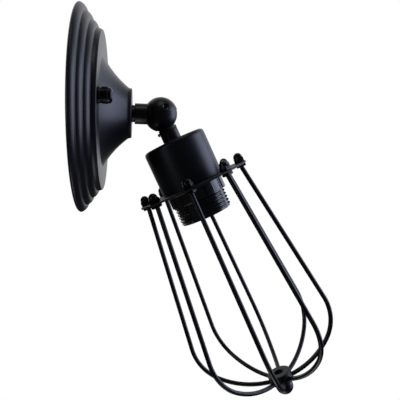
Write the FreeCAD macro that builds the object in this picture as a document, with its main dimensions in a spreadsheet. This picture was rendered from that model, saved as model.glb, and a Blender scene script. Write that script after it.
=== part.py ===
"""Cage wall light: a stepped round canopy, a swivel and tilt joint, a screw lampholder and a cage of eight wires.

The origin is the centre of the canopy's back face, on the wall. +X points out of the wall, +Z is up.
Turned pieces are drawn as (radius, station) outlines and turned about their own Z axis, which is then
laid along the wall axis (for the canopy and the neck) or along the lamp's axis (for the head).
Stations of the head are measured from the centre of the swivel ball towards the finial.
"""
import FreeCAD, Part
import math
import os
import Sketcher

V = FreeCAD.Vector

SIZES = {
    # canopy, a spun steel dish with three rolled steps and a trumpet-shaped boss
    "canopy_radius": 71.5, "canopy_wall": 1.0, "rim_curl": 1.5, "rim_rise": 1.6,
    "roll_rise": 3.8, "roll_step": 5.2, "roll_bulge": 1.2, "annulus_height": 16.2,
    "annulus_drop": 0.9, "flare_foot_radius": 38.0, "flare_bulge": 1.4,
    "boss_radius": 17.2, "boss_height": 36.4, "boss_rounding": 0.8, "boss_collar": 2.3, "boss_draft": 0.5,
    # fixing strap on the wall, with its studs and nuts
    "strap_width": 20.0, "strap_length": 108.0, "strap_thickness": 1.5, "strap_lift": 5.0,
    "strap_flat_length": 70.0, "strap_joggle": 4.0, "cable_hole_radius": 6.0,
    "wall_slot_spacing": 50.0, "wall_slot_length": 14.0, "wall_slot_width": 5.0,
    "ear_width": 24.0, "upper_ear_reach": 34.0, "lower_ear_reach": 25.0, "earth_reach": 18.0,
    "stud_circle": 46.2, "stud_turn_angle": 5.6, "stud_radius": 2.0, "stud_head_radius": 4.0,
    "stud_head_height": 2.4, "stud_engagement": 6.5, "stud_slot_length": 14.0,
    "stud_nut_flats": 7.0, "stud_nut_height": 3.2,
    "cap_nut_radius": 5.2, "cap_nut_height": 9.0, "cap_nut_rounding": 2.0, "cap_nut_groove": 0.4,
    "cap_nut_base": 2.0,
    # terminal block on the strap's upper ear
    "block_length": 26.0, "block_height": 18.0, "block_depth": 12.0, "block_low": 13.0,
    "pole_spacing": 8.5, "wire_way_radius": 1.7, "pole_screw_radius": 1.5, "pole_screw_depth": 4.5,
    "pole_screw_drop": 0.6, "block_screw_radius": 1.5, "earth_washer_radius": 5.0,
    "earth_washer_height": 1.0, "earth_screw_radius": 2.0, "earth_head_radius": 3.5,
    "earth_head_height": 2.5, "earth_tail": 1.0,
    # swivel on the canopy's boss
    "nipple_radius": 5.0, "nipple_bore": 3.5, "nipple_tail": 10.0, "nipple_engagement": 6.0,
    "neck_washer_radius": 6.0, "neck_washer_height": 2.0, "stiffener_radius": 14.0,
    "stiffener_height": 1.2, "peg_circle": 11.0, "peg_radius": 1.0, "spring_washer_radius": 8.0,
    "spring_washer_height": 0.8, "stop_washer_radius": 9.0, "stop_washer_height": 1.0,
    "stop_tab_width": 3.0, "stop_tab_reach": 12.6, "lock_nut_flats": 14.0, "lock_nut_height": 3.0,
    "neck_radius": 7.3, "neck_chamfer": 0.5, "lead_way_radius": 2.6,
    # ball joint
    "neck_length": 8.8, "shell_radius": 12.3, "rotor_radius": 6.5, "rotor_gap": 0.35,
    "plug_radius": 6.5, "plug_length": 2.0, "friction_spring_height": 0.6, "seat_bore": 4.0,
    "seat_land_radius": 5.8, "seat_clearance": 0.1, "cavity_step": 4.0, "spigot_radius": 4.0, "slot_clearance": 0.3,
    "head_tilt": 26.6, "tilt_in": 18.3, "tilt_out": 63.4,
    "grub_radius": 2.5, "grub_length": 4.4, "grub_turn_angle": 21.7, "grub_rise_angle": 13.6,
    "grub_socket_flats": 2.5, "grub_socket_depth": 2.0,
    # stem and cup
    "collar_radius": 6.8, "collar_gap": 0.3, "tab_width": 2.4, "tab_thickness": 1.3, "tab_height": 1.0,
    "tab_overhang": 1.1, "stem_radius": 6.8, "stem_top": 13.0, "stem_end": 31.0, "stem_chamfer": 0.3,
    "cup_top": 20.7, "cup_radius": 23.3, "cup_wall": 0.8, "cup_rounding": 3.2,
    "stem_washer_radius": 9.0, "stem_washer_height": 1.0, "stem_nut_flats": 14.0,
    "stem_nut_height": 3.5,
    # lampholder
    "holder_gap": 0.8, "holder_cap_radius": 17.5, "holder_cap_height": 16.0,
    "holder_neck_radius": 8.5, "holder_neck_height": 2.0, "holder_shoulder": 7.0,
    "holder_wall": 2.2, "holder_joint": 4.0, "holder_waist_radius": 18.0,
    "holder_flange_radius": 22.2, "holder_flange_height": 3.0,
    "thread_radius": 19.8, "thread_depth": 0.9, "thread_pitch": 2.5, "thread_crest": 0.6,
    "thread_length": 23.9, "thread_relief": 2.0, "channel_width": 8.0, "channel_depth": 0.6,
    "channel_count": 4,
    "channel_turn_angle": 26.0, "holder_bore": 14.8, "floor_drop": 10.5, "floor_hole_radius": 11.5,
    "floor_thickness": 3.0, "block_disc_radius": 14.6, "block_disc_height": 5.0,
    "block_rim_wall": 2.6,
    "shell_bore": 13.2, "shell_wall": 0.5, "shell_setback": 3.8,
    "tongue_width": 6.0, "tongue_thickness": 0.5, "tongue_length": 9.0, "tongue_rise": 4.0,
    "contact_screw_circle": 8.8, "contact_screw_radius": 1.5, "contact_head_radius": 2.4,
    "contact_head_height": 1.8, "contact_screw_length": 3.5,
    # cage plate and the ring that clamps it
    "plate_top": 55.0, "plate_thickness": 1.2, "plate_radius": 41.9, "plate_clearance": 0.3,
    "ring_flange_radius": 23.6, "ring_flange_height": 1.5, "ring_radius": 21.6,
    "ring_height": 9.8, "ring_groove_count": 8, "ring_groove_depth": 0.7, "ring_groove_width": 9.7,
    "ring_clearance": 0.1,
    # cage wires, their nuts, the hub and the finial
    "wire_count": 8, "wire_radius": 1.7, "wire_circle": 37.6, "first_wire_angle": 9.9,
    "wire_nut_flats": 7.0, "acorn_height": 7.2, "acorn_hex_height": 3.6, "acorn_dome_radius": 3.2,
    "acorn_wall": 1.2,
    "under_nut_height": 2.2, "wire_kink_radius": 10.0, "wire_flare_angle": 8.4, "wire_run": 113.8,
    "belly_bend_radius": 36.0, "bend_change_angle": 45.0, "hub_entry_angle": 79.0, "hub_entry_run": 6.0,
    "hub_radius": 9.3, "hub_height": 8.0, "hub_rounding": 0.8, "hub_bore": 3.6, "hub_bore_depth": 4.0,
    "wire_seat_depth": 2.0, "entry_drop": 5.8,
    "finial_radius": 6.7, "finial_reach": 4.2, "finial_stud_radius": 2.0,
    # leads inside the canopy and the cup
    "lead_radius": 0.9, "lead_bend": 6.0, "lead_spread": 1.6,
    # general
    "thread_clearance": 0.05, "running_clearance": 0.08, "face_gap": 0.1,
}

DOC = FreeCAD.newDocument("cage_wall_light")
SHEET = DOC.addObject("Spreadsheet::Sheet", "Sizes")
TURNED_TO_WALL_AXIS = FreeCAD.Rotation(V(0, 1, 0), 90)


class Dim:
    """A size: its value now, and the sheet formula that sketches and pads are bound to."""

    def __init__(self, value, text):
        self.value = value
        self.text = text

    def join(self, other, sign, result):
        return Dim(result, "(%s %s %s)" % (self.text, sign, as_dim(other).text))

    def __add__(self, other):
        return self.join(other, "+", self.value + as_dim(other).value)

    def __sub__(self, other):
        return self.join(other, "-", self.value - as_dim(other).value)

    def __mul__(self, other):
        return self.join(other, "*", self.value * as_dim(other).value)

    def __truediv__(self, other):
        return self.join(other, "/", self.value / as_dim(other).value)

    def __neg__(self):
        return as_dim(0) - self

    def __radd__(self, other):
        return as_dim(other) + self

    def __rsub__(self, other):
        return as_dim(other) - self

    def __rmul__(self, other):
        return as_dim(other) * self

    def __float__(self):
        return float(self.value)


def as_dim(number):
    return number if isinstance(number, Dim) else Dim(float(number), repr(float(number)))


def root(dim):
    return Dim(math.sqrt(dim.value), "sqrt(%s)" % dim.text)


def sine(angle):
    return Dim(math.sin(math.radians(angle.value)), "sin(%s * 1 deg)" % angle.text)


def cosine(angle):
    return Dim(math.cos(math.radians(angle.value)), "cos(%s * 1 deg)" % angle.text)


def side_of(hypotenuse, other_side):
    """The third side of a right triangle, such as where a sphere reaches a given radius."""
    return root(hypotenuse * hypotenuse - other_side * other_side)


class Sizes:
    """The sheet's sizes by name, as bound values."""

    def __getattr__(self, name):
        return Dim(float(SIZES[name]), "Sizes." + name)


S = Sizes()


def fill_sheet():
    for row, (name, value) in enumerate(SIZES.items(), start=1):
        SHEET.set("A%d" % row, name)
        SHEET.set("B%d" % row, str(value))
        SHEET.setAlias("B%d" % row, name)
    DOC.recompute()


# ---------------------------------------------------------------- sketches and features

def new_body(name):
    body = DOC.addObject("PartDesign::Body", name)
    body.Label = name
    return body


def origin_plane(body, role):
    return next(part for part in body.Origin.OriginFeatures if part.Role == role)


def new_sketch(body, role="XZ_Plane", lift=None):
    """An empty sketch on one of the body's own planes, lifted off it by a bound distance."""
    sketch = body.newObject("Sketcher::SketchObject", body.Name + "_sketch")
    sketch.AttachmentSupport = [(origin_plane(body, role), "")]
    sketch.MapMode = "FlatFace"
    if lift is not None:
        sketch.setExpression("AttachmentOffset.Base.z", as_dim(lift).text)
    return sketch


def bind(sketch, kind, *where, size):
    index = sketch.addConstraint(Sketcher.Constraint(kind, *where, float(size)))
    sketch.setExpression("Constraints[%d]" % index, as_dim(size).text)


def bind_point(sketch, edge, end, x, y):
    """Hold one end of an edge at a bound place."""
    for kind, size in (("DistanceX", x), ("DistanceY", y)):
        bind(sketch, kind, -1, 1, edge, end, size=size)


def arc_centre(a, b, radius):
    """The centre of the arc from a to b; a positive radius bulges to the left of travel."""
    chord = b - a
    half = chord.Length / 2
    left = V(-chord.y, chord.x, 0).normalize()
    reach = math.sqrt(max(radius * radius - half * half, 0))
    return (a + b) / 2 - left * math.copysign(reach, radius)


def draw_arc(sketch, a, b, radius):
    """An arc edge from a to b. Its ends are stored the counter-clockwise way round."""
    centre = arc_centre(a, b, float(radius))
    first, last = (b, a) if float(radius) > 0 else (a, b)
    angles = [math.atan2(p.y - centre.y, p.x - centre.x) for p in (first, last)]
    circle = Part.Circle(centre, V(0, 0, 1), abs(float(radius)))
    edge = sketch.addGeometry(Part.ArcOfCircle(circle, angles[0], angles[1]), False)
    return edge, ((2, 1) if float(radius) > 0 else (1, 2))


def draw_path(sketch, corners, closed=True):
    """Lines and arcs through the corners. A corner is (x, y), or (x, y, radius) where an arc leaves it."""
    points = [V(float(c[0]), float(c[1]), 0) for c in corners]
    count = len(corners) if closed else len(corners) - 1
    ends = []
    for i in range(count):
        a, b = points[i], points[(i + 1) % len(corners)]
        if len(corners[i]) == 3:
            edge, order = draw_arc(sketch, a, b, corners[i][2])
        else:
            edge, order = sketch.addGeometry(Part.LineSegment(a, b), False), (1, 2)
        ends.append((edge, order))
    for i in range(count if closed else count - 1):
        (edge, order), (following, next_order) = ends[i], ends[(i + 1) % count]
        sketch.addConstraint(Sketcher.Constraint("Coincident", edge, order[1], following, next_order[0]))
    for i, (edge, order) in enumerate(ends):
        bind_point(sketch, edge, order[0], corners[i][0], corners[i][1])
        if len(corners[i]) == 3:
            radius = corners[i][2]
            bind(sketch, "Radius", edge, size=radius if float(radius) > 0 else -radius)
    if not closed:
        edge, order = ends[-1]
        bind_point(sketch, edge, order[1], corners[-1][0], corners[-1][1])
    return sketch


def draw_circle(sketch, x, y, radius):
    edge = sketch.addGeometry(Part.Circle(V(float(x), float(y), 0), V(0, 0, 1), float(radius)), False)
    bind(sketch, "Radius", edge, size=radius)
    bind_point(sketch, edge, 3, x, y)


def draw_hexagon(sketch, flats, x=0, y=0):
    """A hexagon with two flats square to the sketch's X axis."""
    half = flats / 2
    corner = flats / math.sqrt(3)
    signs = ((1, 0.5), (0, 1), (-1, 0.5), (-1, -0.5), (0, -1), (1, -0.5))
    draw_path(sketch, [(x + half * across, y + corner * along) for across, along in signs])


def draw_box(sketch, low_x, low_y, high_x, high_y):
    draw_path(sketch, [(low_x, low_y), (high_x, low_y), (high_x, high_y), (low_x, high_y)])


def draw_slot(sketch, x, y, length, width, along_x=False):
    """A round-ended slot along the sketch's Y axis, or along its X axis."""
    half, reach = width / 2, (length - width) / 2
    tip = length / 2
    outline = [(-half, -reach, -half), (0, -tip, -half), (half, -reach),
               (half, reach, -half), (0, tip, -half), (-half, reach)]
    if along_x:
        outline = [(down, across) + tuple(-bend for bend in rest) for across, down, *rest in outline]
    draw_path(sketch, [(x + across, y + down) + tuple(rest) for across, down, *rest in outline])


def turn(body, corners):
    """Turn a (radius, station) outline about the body's Z axis."""
    sketch = draw_path(new_sketch(body), corners)
    feature = body.newObject("PartDesign::Revolution", body.Name + "_turned")
    feature.Profile = sketch
    feature.ReferenceAxis = (sketch, ["V_Axis"])
    feature.Angle = 360
    return feature


def cut_turn(body, corners):
    """Turn a groove out of the body about its Z axis."""
    sketch = draw_path(new_sketch(body), corners)
    feature = body.newObject("PartDesign::Groove", body.Name + "_groove")
    feature.Profile = sketch
    feature.ReferenceAxis = (sketch, ["V_Axis"])
    feature.Angle = 360
    return feature


def pad(body, sketch, length, both_ways=False):
    feature = body.newObject("PartDesign::Pad", body.Name + "_pad")
    feature.Profile = sketch
    feature.setExpression("Length", as_dim(length).text)
    feature.Midplane = both_ways
    return feature


def pocket(body, sketch, depth, reversed_way=False, both_ways=False):
    """Cut a sketch into the body. It cuts towards the sketch's back unless it is reversed."""
    feature = body.newObject("PartDesign::Pocket", body.Name + "_pocket")
    feature.Profile = sketch
    feature.setExpression("Length", as_dim(depth).text)
    feature.Reversed = reversed_way
    feature.Midplane = both_ways
    return feature


def cut_cylinder(body, radius, height, place):
    """Bore a hole whose axis starts at a place of its own."""
    feature = body.newObject("PartDesign::SubtractiveCylinder", body.Name + "_bore")
    feature.AttachmentSupport = [(origin_plane(body, "XY_Plane"), "")]
    feature.MapMode = "FlatFace"
    feature.AttachmentOffset = place
    feature.setExpression("Radius", as_dim(radius).text)
    feature.setExpression("Height", as_dim(height).text)
    return feature


def ring_pattern(body, feature, count):
    """Repeat a feature round the body's Z axis."""
    pattern = body.newObject("PartDesign::PolarPattern", body.Name + "_pattern")
    pattern.Originals = [feature]
    pattern.Axis = (origin_plane(body, "Z_Axis"), [""])
    pattern.Angle = 360
    pattern.setExpression("Occurrences", count.text)
    body.Tip = pattern
    return pattern


PIECES = []


def keep(piece, place=None):
    """Put a finished piece in its place, and on the list of pieces that are written out."""
    piece.Placement = place or FreeCAD.Placement()
    DOC.recompute()
    PIECES.append(piece)
    return piece


def keep_group(name, pattern_piece, places):
    """Identical fasteners as one piece of separate solids."""
    DOC.recompute()
    group = DOC.addObject("Part::Feature", name)
    group.Label = name
    solid = pattern_piece.Shape.Solids[0]
    solid.Placement = FreeCAD.Placement()
    group.Shape = Part.makeCompound([placed(solid, place) for place in places])
    return keep(group)


def placed(shape, place):
    moved = shape.copy()
    moved.Placement = place
    return moved


# ---------------------------------------------------------------- places

def on_wall_axis(station=0.0, turned=0.0):
    """A place on the wall axis: Z runs out of the wall, X down and Y across."""
    spin = FreeCAD.Rotation(V(0, 0, 1), float(turned))
    return FreeCAD.Placement(V(float(station), 0, 0), TURNED_TO_WALL_AXIS.multiply(spin))


def on_head_axis(station=0.0, turned=0.0):
    """A place on the lamp's axis: Z runs from the ball to the finial."""
    tilt = FreeCAD.Rotation(V(0, 1, 0), 180 - float(S.head_tilt))
    spin = FreeCAD.Rotation(V(0, 0, 1), float(turned))
    ball = V(float(ball_reach()), 0, 0)
    return FreeCAD.Placement(ball + tilt.multVec(V(0, 0, float(station))), tilt.multiply(spin))


def moved(place, x, y, z=0.0):
    """A place shifted along its own axes."""
    return place.multiply(FreeCAD.Placement(V(float(x), float(y), float(z)), FreeCAD.Rotation()))


def stud_places(station):
    """The two studs' places. The canopy is turned a little on the level strap."""
    for side in (-1, 1):
        angle = math.radians(float(S.stud_turn_angle))
        reach = float(S.stud_circle)
        yield moved(on_wall_axis(station), side * reach * math.sin(angle), side * reach * math.cos(angle))


# ---------------------------------------------------------------- canopy and strap

def arc_radius(rise, run, bulge):
    """The radius of an arc over a chord of this rise and run that stands out by the bulge."""
    return ((rise * rise + run * run) / 4 + bulge * bulge) / (2 * bulge)


def make_canopy():
    """One sheet-metal wall: the outline goes up the outside and comes back down the inside."""
    body = new_body("canopy")
    wall, hole = S.canopy_wall, S.nipple_radius + S.running_clearance
    curl = arc_radius(S.rim_rise, S.rim_curl, S.rim_curl / 4)
    roll = arc_radius(S.roll_rise, S.roll_step, S.roll_bulge)
    flare = arc_radius(S.boss_height - S.boss_collar - S.annulus_height, S.flare_foot_radius - S.boss_radius,
                       S.flare_bulge)
    rounding, top = S.boss_rounding, S.boss_height
    steps = [(S.canopy_radius - S.roll_step * k, S.rim_rise + S.roll_rise * k) for k in range(4)]
    corner = (steps[3][0] - S.annulus_drop, S.annulus_height)
    foot, collar = (S.flare_foot_radius, S.annulus_height), (S.boss_radius + S.boss_draft, top - S.boss_collar)
    outside = [(S.canopy_radius - S.rim_curl, as_dim(0), -curl), steps[0] + (-roll,), steps[1] + (-roll,),
               steps[2] + (-roll,), steps[3], corner, foot + (flare,), collar,
               (S.boss_radius, top - rounding, -rounding), (S.boss_radius - rounding, top), (hole, top)]
    slant = root(S.roll_rise * S.roll_rise + S.roll_step * S.roll_step)
    shift_in, shift_down = wall * S.roll_rise / slant, wall * S.roll_step / slant
    inner_steps = [(r - shift_in, z - shift_down) for r, z in steps]
    inside = [(hole, top - wall), (S.boss_radius - wall, top - wall),
              (collar[0] - wall, collar[1] - wall / 2, -flare), (foot[0] - wall / 2, foot[1] - wall),
              (corner[0] - wall / 2, corner[1] - wall), inner_steps[3] + (roll,), inner_steps[2] + (roll,),
              inner_steps[1] + (roll,), inner_steps[0], (S.canopy_radius - S.rim_curl - wall, as_dim(0))]
    turn(body, outside + inside)
    DOC.recompute()
    holes = new_sketch(body, "XY_Plane")
    for side in (-1, 1):
        x, y = S.stud_circle * sine(S.stud_turn_angle) * side, S.stud_circle * cosine(S.stud_turn_angle) * side
        draw_circle(holes, x, y, S.stud_radius + S.slot_clearance)
    pocket(body, holes, top, reversed_way=True)
    return keep(body, on_wall_axis())


def strap_side():
    """The strap's bent profile as (across, out of the wall) corners: flat, joggle and raised end, both ends."""
    thick, lift = S.strap_thickness, S.strap_lift
    flat, bend, end = S.strap_flat_length / 2, S.strap_flat_length / 2 + S.strap_joggle, S.strap_length / 2
    right = [(flat, as_dim(0)), (bend, lift), (end, lift), (end, lift + thick), (bend, lift + thick)]
    top_right = (flat, thick)
    left = [(-x, y) for x, y in right]
    return right + [top_right, (-flat, thick)] + left[::-1]


def make_strap():
    body = new_body("mounting_strap")
    pad(body, draw_path(new_sketch(body, "YZ_Plane"), strap_side()), S.strap_width, both_ways=True)
    ears = new_sketch(body, "XY_Plane")
    draw_box(ears, -S.upper_ear_reach, -(S.ear_width / 2), S.lower_ear_reach, S.ear_width / 2)
    pad(body, ears, S.strap_thickness)
    holes = new_sketch(body, "XY_Plane")
    draw_circle(holes, as_dim(0), as_dim(0), S.cable_hole_radius)
    draw_circle(holes, S.earth_reach, as_dim(0), S.earth_screw_radius + S.thread_clearance)
    draw_circle(holes, block_screw_drop(), as_dim(0), S.block_screw_radius + S.thread_clearance)
    for side in (-1, 1):
        draw_slot(holes, as_dim(0), S.wall_slot_spacing * side / 2, S.wall_slot_length, S.wall_slot_width)
        draw_slot(holes, as_dim(0), S.stud_circle * cosine(S.stud_turn_angle) * side, S.stud_slot_length,
                  (S.stud_radius + S.thread_clearance * 2) * 2, along_x=True)
    pocket(body, holes, S.strap_lift + S.strap_thickness, reversed_way=True)
    return keep(body, on_wall_axis())


def make_studs():
    """Screws that stand on the strap's raised ends, heads to the wall."""
    body = new_body("stud_pattern")
    tip = S.annulus_height - S.strap_lift + S.stud_engagement
    head = S.stud_head_height
    turn(body, [(as_dim(0), -head), (S.stud_head_radius, -head), (S.stud_head_radius, as_dim(0)),
                (S.stud_radius, as_dim(0)), (S.stud_radius, tip), (as_dim(0), tip)])
    keep_group("strap_studs", body, stud_places(S.strap_lift))


def make_nut(name, flats, height, bore):
    body = new_body(name)
    sketch = new_sketch(body, "XY_Plane")
    draw_hexagon(sketch, flats)
    draw_circle(sketch, as_dim(0), as_dim(0), bore)
    pad(body, sketch, height)
    return body


def make_stud_nuts():
    body = make_nut("stud_nut_pattern", S.stud_nut_flats, S.stud_nut_height, S.stud_radius + S.thread_clearance)
    keep_group("stud_lock_nuts", body, stud_places(S.strap_lift + S.strap_thickness))


def make_cap_nuts():
    """Round cap nuts with a domed end and a groove above the base."""
    body = new_body("cap_nut_pattern")
    bore, radius, height = S.stud_radius + S.thread_clearance, S.cap_nut_radius, S.cap_nut_height
    rounding, groove, base = S.cap_nut_rounding, S.cap_nut_groove, S.cap_nut_base
    depth = S.stud_engagement + groove
    turn(body, [(bore, as_dim(0)), (radius, as_dim(0)), (radius, base), (radius - groove, base),
                (radius - groove, base + groove), (radius, base + groove), (radius, height - rounding, -rounding),
                (radius - rounding, height), (as_dim(0), height), (as_dim(0), depth), (bore, depth)])
    keep_group("canopy_cap_nuts", body, stud_places(S.annulus_height))


# ---------------------------------------------------------------- terminals

def block_screw_drop():
    """Where the block's fixing screw stands on the upper ear, measured down the strap's own X axis."""
    return -(S.block_low + S.block_height / 2)


def make_terminal_block():
    body = new_body("terminal_block")
    top, bottom = -(S.block_low + S.block_height), -S.block_low
    outline = new_sketch(body, "XY_Plane", S.strap_thickness)
    draw_box(outline, top, -(S.block_length / 2), bottom, S.block_length / 2)
    pad(body, outline, S.block_depth)
    ways = new_sketch(body, "YZ_Plane")
    for pole in (-1, 1):
        draw_circle(ways, S.pole_spacing * pole, wire_way_height(), S.wire_way_radius)
    pocket(body, ways, S.upper_ear_reach * 2, both_ways=True)
    wells = new_sketch(body, "XY_Plane", S.strap_thickness + S.block_depth)
    for x, y in pole_screw_spots():
        draw_circle(wells, x, y, S.pole_screw_radius + S.thread_clearance)
    pocket(body, wells, S.pole_screw_depth + S.pole_screw_drop)
    middle = new_sketch(body, "XY_Plane", S.strap_thickness)
    draw_circle(middle, block_screw_drop(), as_dim(0), S.block_screw_radius + S.thread_clearance)
    pocket(body, middle, S.block_depth, reversed_way=True)
    return keep(body, on_wall_axis())


def wire_way_height():
    return S.strap_thickness + S.block_depth / 2


def pole_screw_spots():
    quarter = S.block_height / 4
    return [(block_screw_drop() + quarter * end, S.pole_spacing * pole) for pole in (-1, 1) for end in (-1, 1)]


def screw_outline(head_radius, head_height, shank_radius, length):
    """A pan-head screw: its head stands above the seat at station 0 and its shank goes down."""
    edge = head_height / 3
    return [(as_dim(0), head_height), (head_radius - edge, head_height), (head_radius, head_height - edge),
            (head_radius, as_dim(0)), (shank_radius, as_dim(0)), (shank_radius, -length), (as_dim(0), -length)]


def cut_driver_slot(body, head_radius, top, depth):
    """A straight driver slot across a screw's head."""
    sketch = new_sketch(body, "XY_Plane", top)
    half = head_radius / 6
    draw_box(sketch, -head_radius * 1.1, -half, head_radius * 1.1, half)
    pocket(body, sketch, depth)


def make_pole_screws():
    body = new_body("pole_screw_pattern")
    length = S.pole_screw_depth
    turn(body, [(as_dim(0), as_dim(0)), (S.pole_screw_radius, as_dim(0)),
                (S.pole_screw_radius, -length), (as_dim(0), -length)])
    cut_driver_slot(body, S.pole_screw_radius, as_dim(0), length / 4)
    top = S.strap_thickness + S.block_depth - S.pole_screw_drop
    places = [moved(on_wall_axis(top), x, y) for x, y in pole_screw_spots()]
    keep_group("terminal_screws", body, places)


def make_block_screw():
    body = new_body("block_fixing_screw")
    head_radius, head_height = S.block_screw_radius * 2, S.block_screw_radius
    turn(body, screw_outline(head_radius, head_height, S.block_screw_radius, S.block_depth + S.strap_thickness))
    cut_driver_slot(body, head_radius, head_height, head_height / 2)
    keep(body, moved(on_wall_axis(S.strap_thickness + S.block_depth), block_screw_drop(), 0))


def make_earth_terminal():
    washer = new_body("earth_washer")
    bore = S.earth_screw_radius + S.thread_clearance
    turn(washer, [(bore, as_dim(0)), (S.earth_washer_radius, as_dim(0)),
                  (S.earth_washer_radius, S.earth_washer_height), (bore, S.earth_washer_height)])
    keep(washer, moved(on_wall_axis(S.strap_thickness), S.earth_reach, 0))
    screw = new_body("earth_screw")
    length = S.earth_washer_height + S.strap_thickness
    turn(screw, screw_outline(S.earth_head_radius, S.earth_head_height, S.earth_screw_radius, length))
    cut_driver_slot(screw, S.earth_head_radius, S.earth_head_height, S.earth_head_height / 2)
    keep(screw, moved(on_wall_axis(length), S.earth_reach, 0))


# ---------------------------------------------------------------- swivel on the boss

def ring_outline(bore, radius, low, high):
    return [(bore, low), (radius, low), (radius, high), (bore, high)]


def make_ring(name, bore, radius, low, high, place=None):
    body = new_body(name)
    turn(body, ring_outline(bore, radius, low, high))
    return keep(body, place or on_wall_axis())


def stiffener_face():
    """Height above the wall of the stiffener's inner face."""
    return S.boss_height - S.canopy_wall - S.stiffener_height


def make_boss_stack():
    """The washer outside the boss, and the stiffener inside it with its stop peg."""
    hole = S.nipple_radius + S.running_clearance
    make_ring("neck_washer", hole, S.neck_washer_radius, S.boss_height, S.boss_height + S.neck_washer_height)
    body = new_body("boss_stiffener")
    turn(body, ring_outline(hole, S.stiffener_radius, stiffener_face(), S.boss_height - S.canopy_wall))
    peg = new_sketch(body, "XY_Plane", stiffener_face())
    draw_circle(peg, S.peg_circle, as_dim(0), S.peg_radius)
    peg_pad = pad(body, peg, peg_length())
    peg_pad.Reversed = True
    keep(body, on_wall_axis())


def peg_length():
    return S.face_gap + S.spring_washer_height + S.stop_washer_height * 0.8


def make_nipple_stack():
    """The hollow threaded nipple with the pieces that turn with it inside the canopy."""
    spring_top = stiffener_face() - S.face_gap
    stop_top = spring_top - S.spring_washer_height
    nut_top = stop_top - S.stop_washer_height
    bore = S.nipple_radius + S.thread_clearance
    tail = S.boss_height - S.nipple_tail
    reach = neck_start() + S.nipple_engagement
    make_ring("nipple", S.nipple_bore, S.nipple_radius, tail, reach)
    make_ring("spring_washer", bore, S.spring_washer_radius, stop_top, spring_top)
    washer = new_body("stop_washer")
    turn(washer, ring_outline(bore, S.stop_washer_radius, nut_top, stop_top))
    tab = new_sketch(washer, "XY_Plane", nut_top)
    inner = S.stop_washer_radius - S.stop_tab_width / 2
    draw_box(tab, -S.stop_tab_reach, -(S.stop_tab_width / 2), -inner, S.stop_tab_width / 2)
    pad(washer, tab, S.stop_washer_height)
    keep(washer, on_wall_axis())
    nut = make_nut("nipple_lock_nut", S.lock_nut_flats, S.lock_nut_height, bore)
    keep(nut, on_wall_axis(nut_top - S.lock_nut_height))


def neck_start():
    return S.boss_height + S.neck_washer_height + S.face_gap


def shell_flat():
    """Distance from the ball's centre to the flat that the neck sits on."""
    return side_of(S.shell_radius, S.neck_radius)


def ball_reach():
    """Height above the wall of the ball's centre, where both joints' axes meet."""
    return neck_start() + S.neck_length + shell_flat()


def plug_end():
    """How near to the ball's centre the neck's plug comes."""
    return shell_flat() - S.plug_length


def make_neck():
    """The turned neck: bored for the nipple, with a plug that screws into the ball shell."""
    start, shoulder = neck_start(), neck_start() + S.neck_length
    end = ball_reach() - plug_end()
    floor = start + S.nipple_engagement + S.face_gap
    wide, chamfer = S.nipple_radius + S.thread_clearance, S.neck_chamfer
    body = new_body("swivel_neck")
    turn(body, [(wide, start), (S.neck_radius - chamfer, start), (S.neck_radius, start + chamfer),
                (S.neck_radius, shoulder), (S.plug_radius, shoulder), (S.plug_radius, end),
                (S.lead_way_radius, end), (S.lead_way_radius, floor), (wide, floor)])
    keep(body, on_wall_axis())


# ---------------------------------------------------------------- ball joint

def cavity_radius():
    return S.rotor_radius + S.rotor_gap


def make_shell():
    """The hollow ball, bored from the neck side and slotted for the stem's travel."""
    body = new_body("ball_shell")
    cavity, bore = cavity_radius(), S.plug_radius + S.thread_clearance
    turn(body, [(as_dim(0), cavity), (as_dim(0), S.shell_radius, S.shell_radius),
                (S.shell_radius, as_dim(0), S.shell_radius), (S.neck_radius, -shell_flat()),
                (bore, -shell_flat()), (bore, -S.cavity_step), (cavity, -S.cavity_step),
                (cavity, as_dim(0), -cavity)])
    slot = new_sketch(body)
    half, reach = S.spigot_radius + S.slot_clearance, S.shell_radius * 1.6
    low, high = S.head_tilt - S.tilt_in, S.head_tilt + S.tilt_out
    draw_path(slot, [
        (half * sine(low), -(half * cosine(low))),
        (half * sine(low) + reach * cosine(low), reach * sine(low) - half * cosine(low)),
        (reach * (cosine(low) + cosine(high)), reach * (sine(low) + sine(high))),
        (reach * cosine(high) - half * sine(high), half * cosine(high) + reach * sine(high)),
        (-(half * sine(high)), half * cosine(high))])
    pocket(body, slot, half * 2, both_ways=True)
    start = cavity * 0.9
    cut_cylinder(body, S.grub_radius + S.thread_clearance, S.shell_radius, grub_place(float(start)))
    return keep(body, on_wall_axis(ball_reach()))


def grub_place(distance):
    """A place on the grub screw's axis, in the shell's own axes, at a distance from the ball's centre."""
    aim = FreeCAD.Rotation(V(0, 1, 0), -90 + float(S.grub_rise_angle))
    swing = FreeCAD.Rotation(V(0, 0, 1), 90 - float(S.grub_turn_angle))
    direction = swing.multiply(aim)
    return FreeCAD.Placement(direction.multVec(V(0, 0, distance)), direction)


def make_grub_screw():
    body = new_body("ball_grub_screw")
    outline = new_sketch(body, "XY_Plane")
    draw_circle(outline, as_dim(0), as_dim(0), S.grub_radius)
    pad(body, outline, S.grub_length)
    socket = new_sketch(body, "XY_Plane", S.grub_length)
    draw_hexagon(socket, S.grub_socket_flats)
    pocket(body, socket, S.grub_socket_depth)
    tip = float(cavity_radius()) + float(S.face_gap)
    keep(body, on_wall_axis(ball_reach()).multiply(grub_place(tip)))


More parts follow.
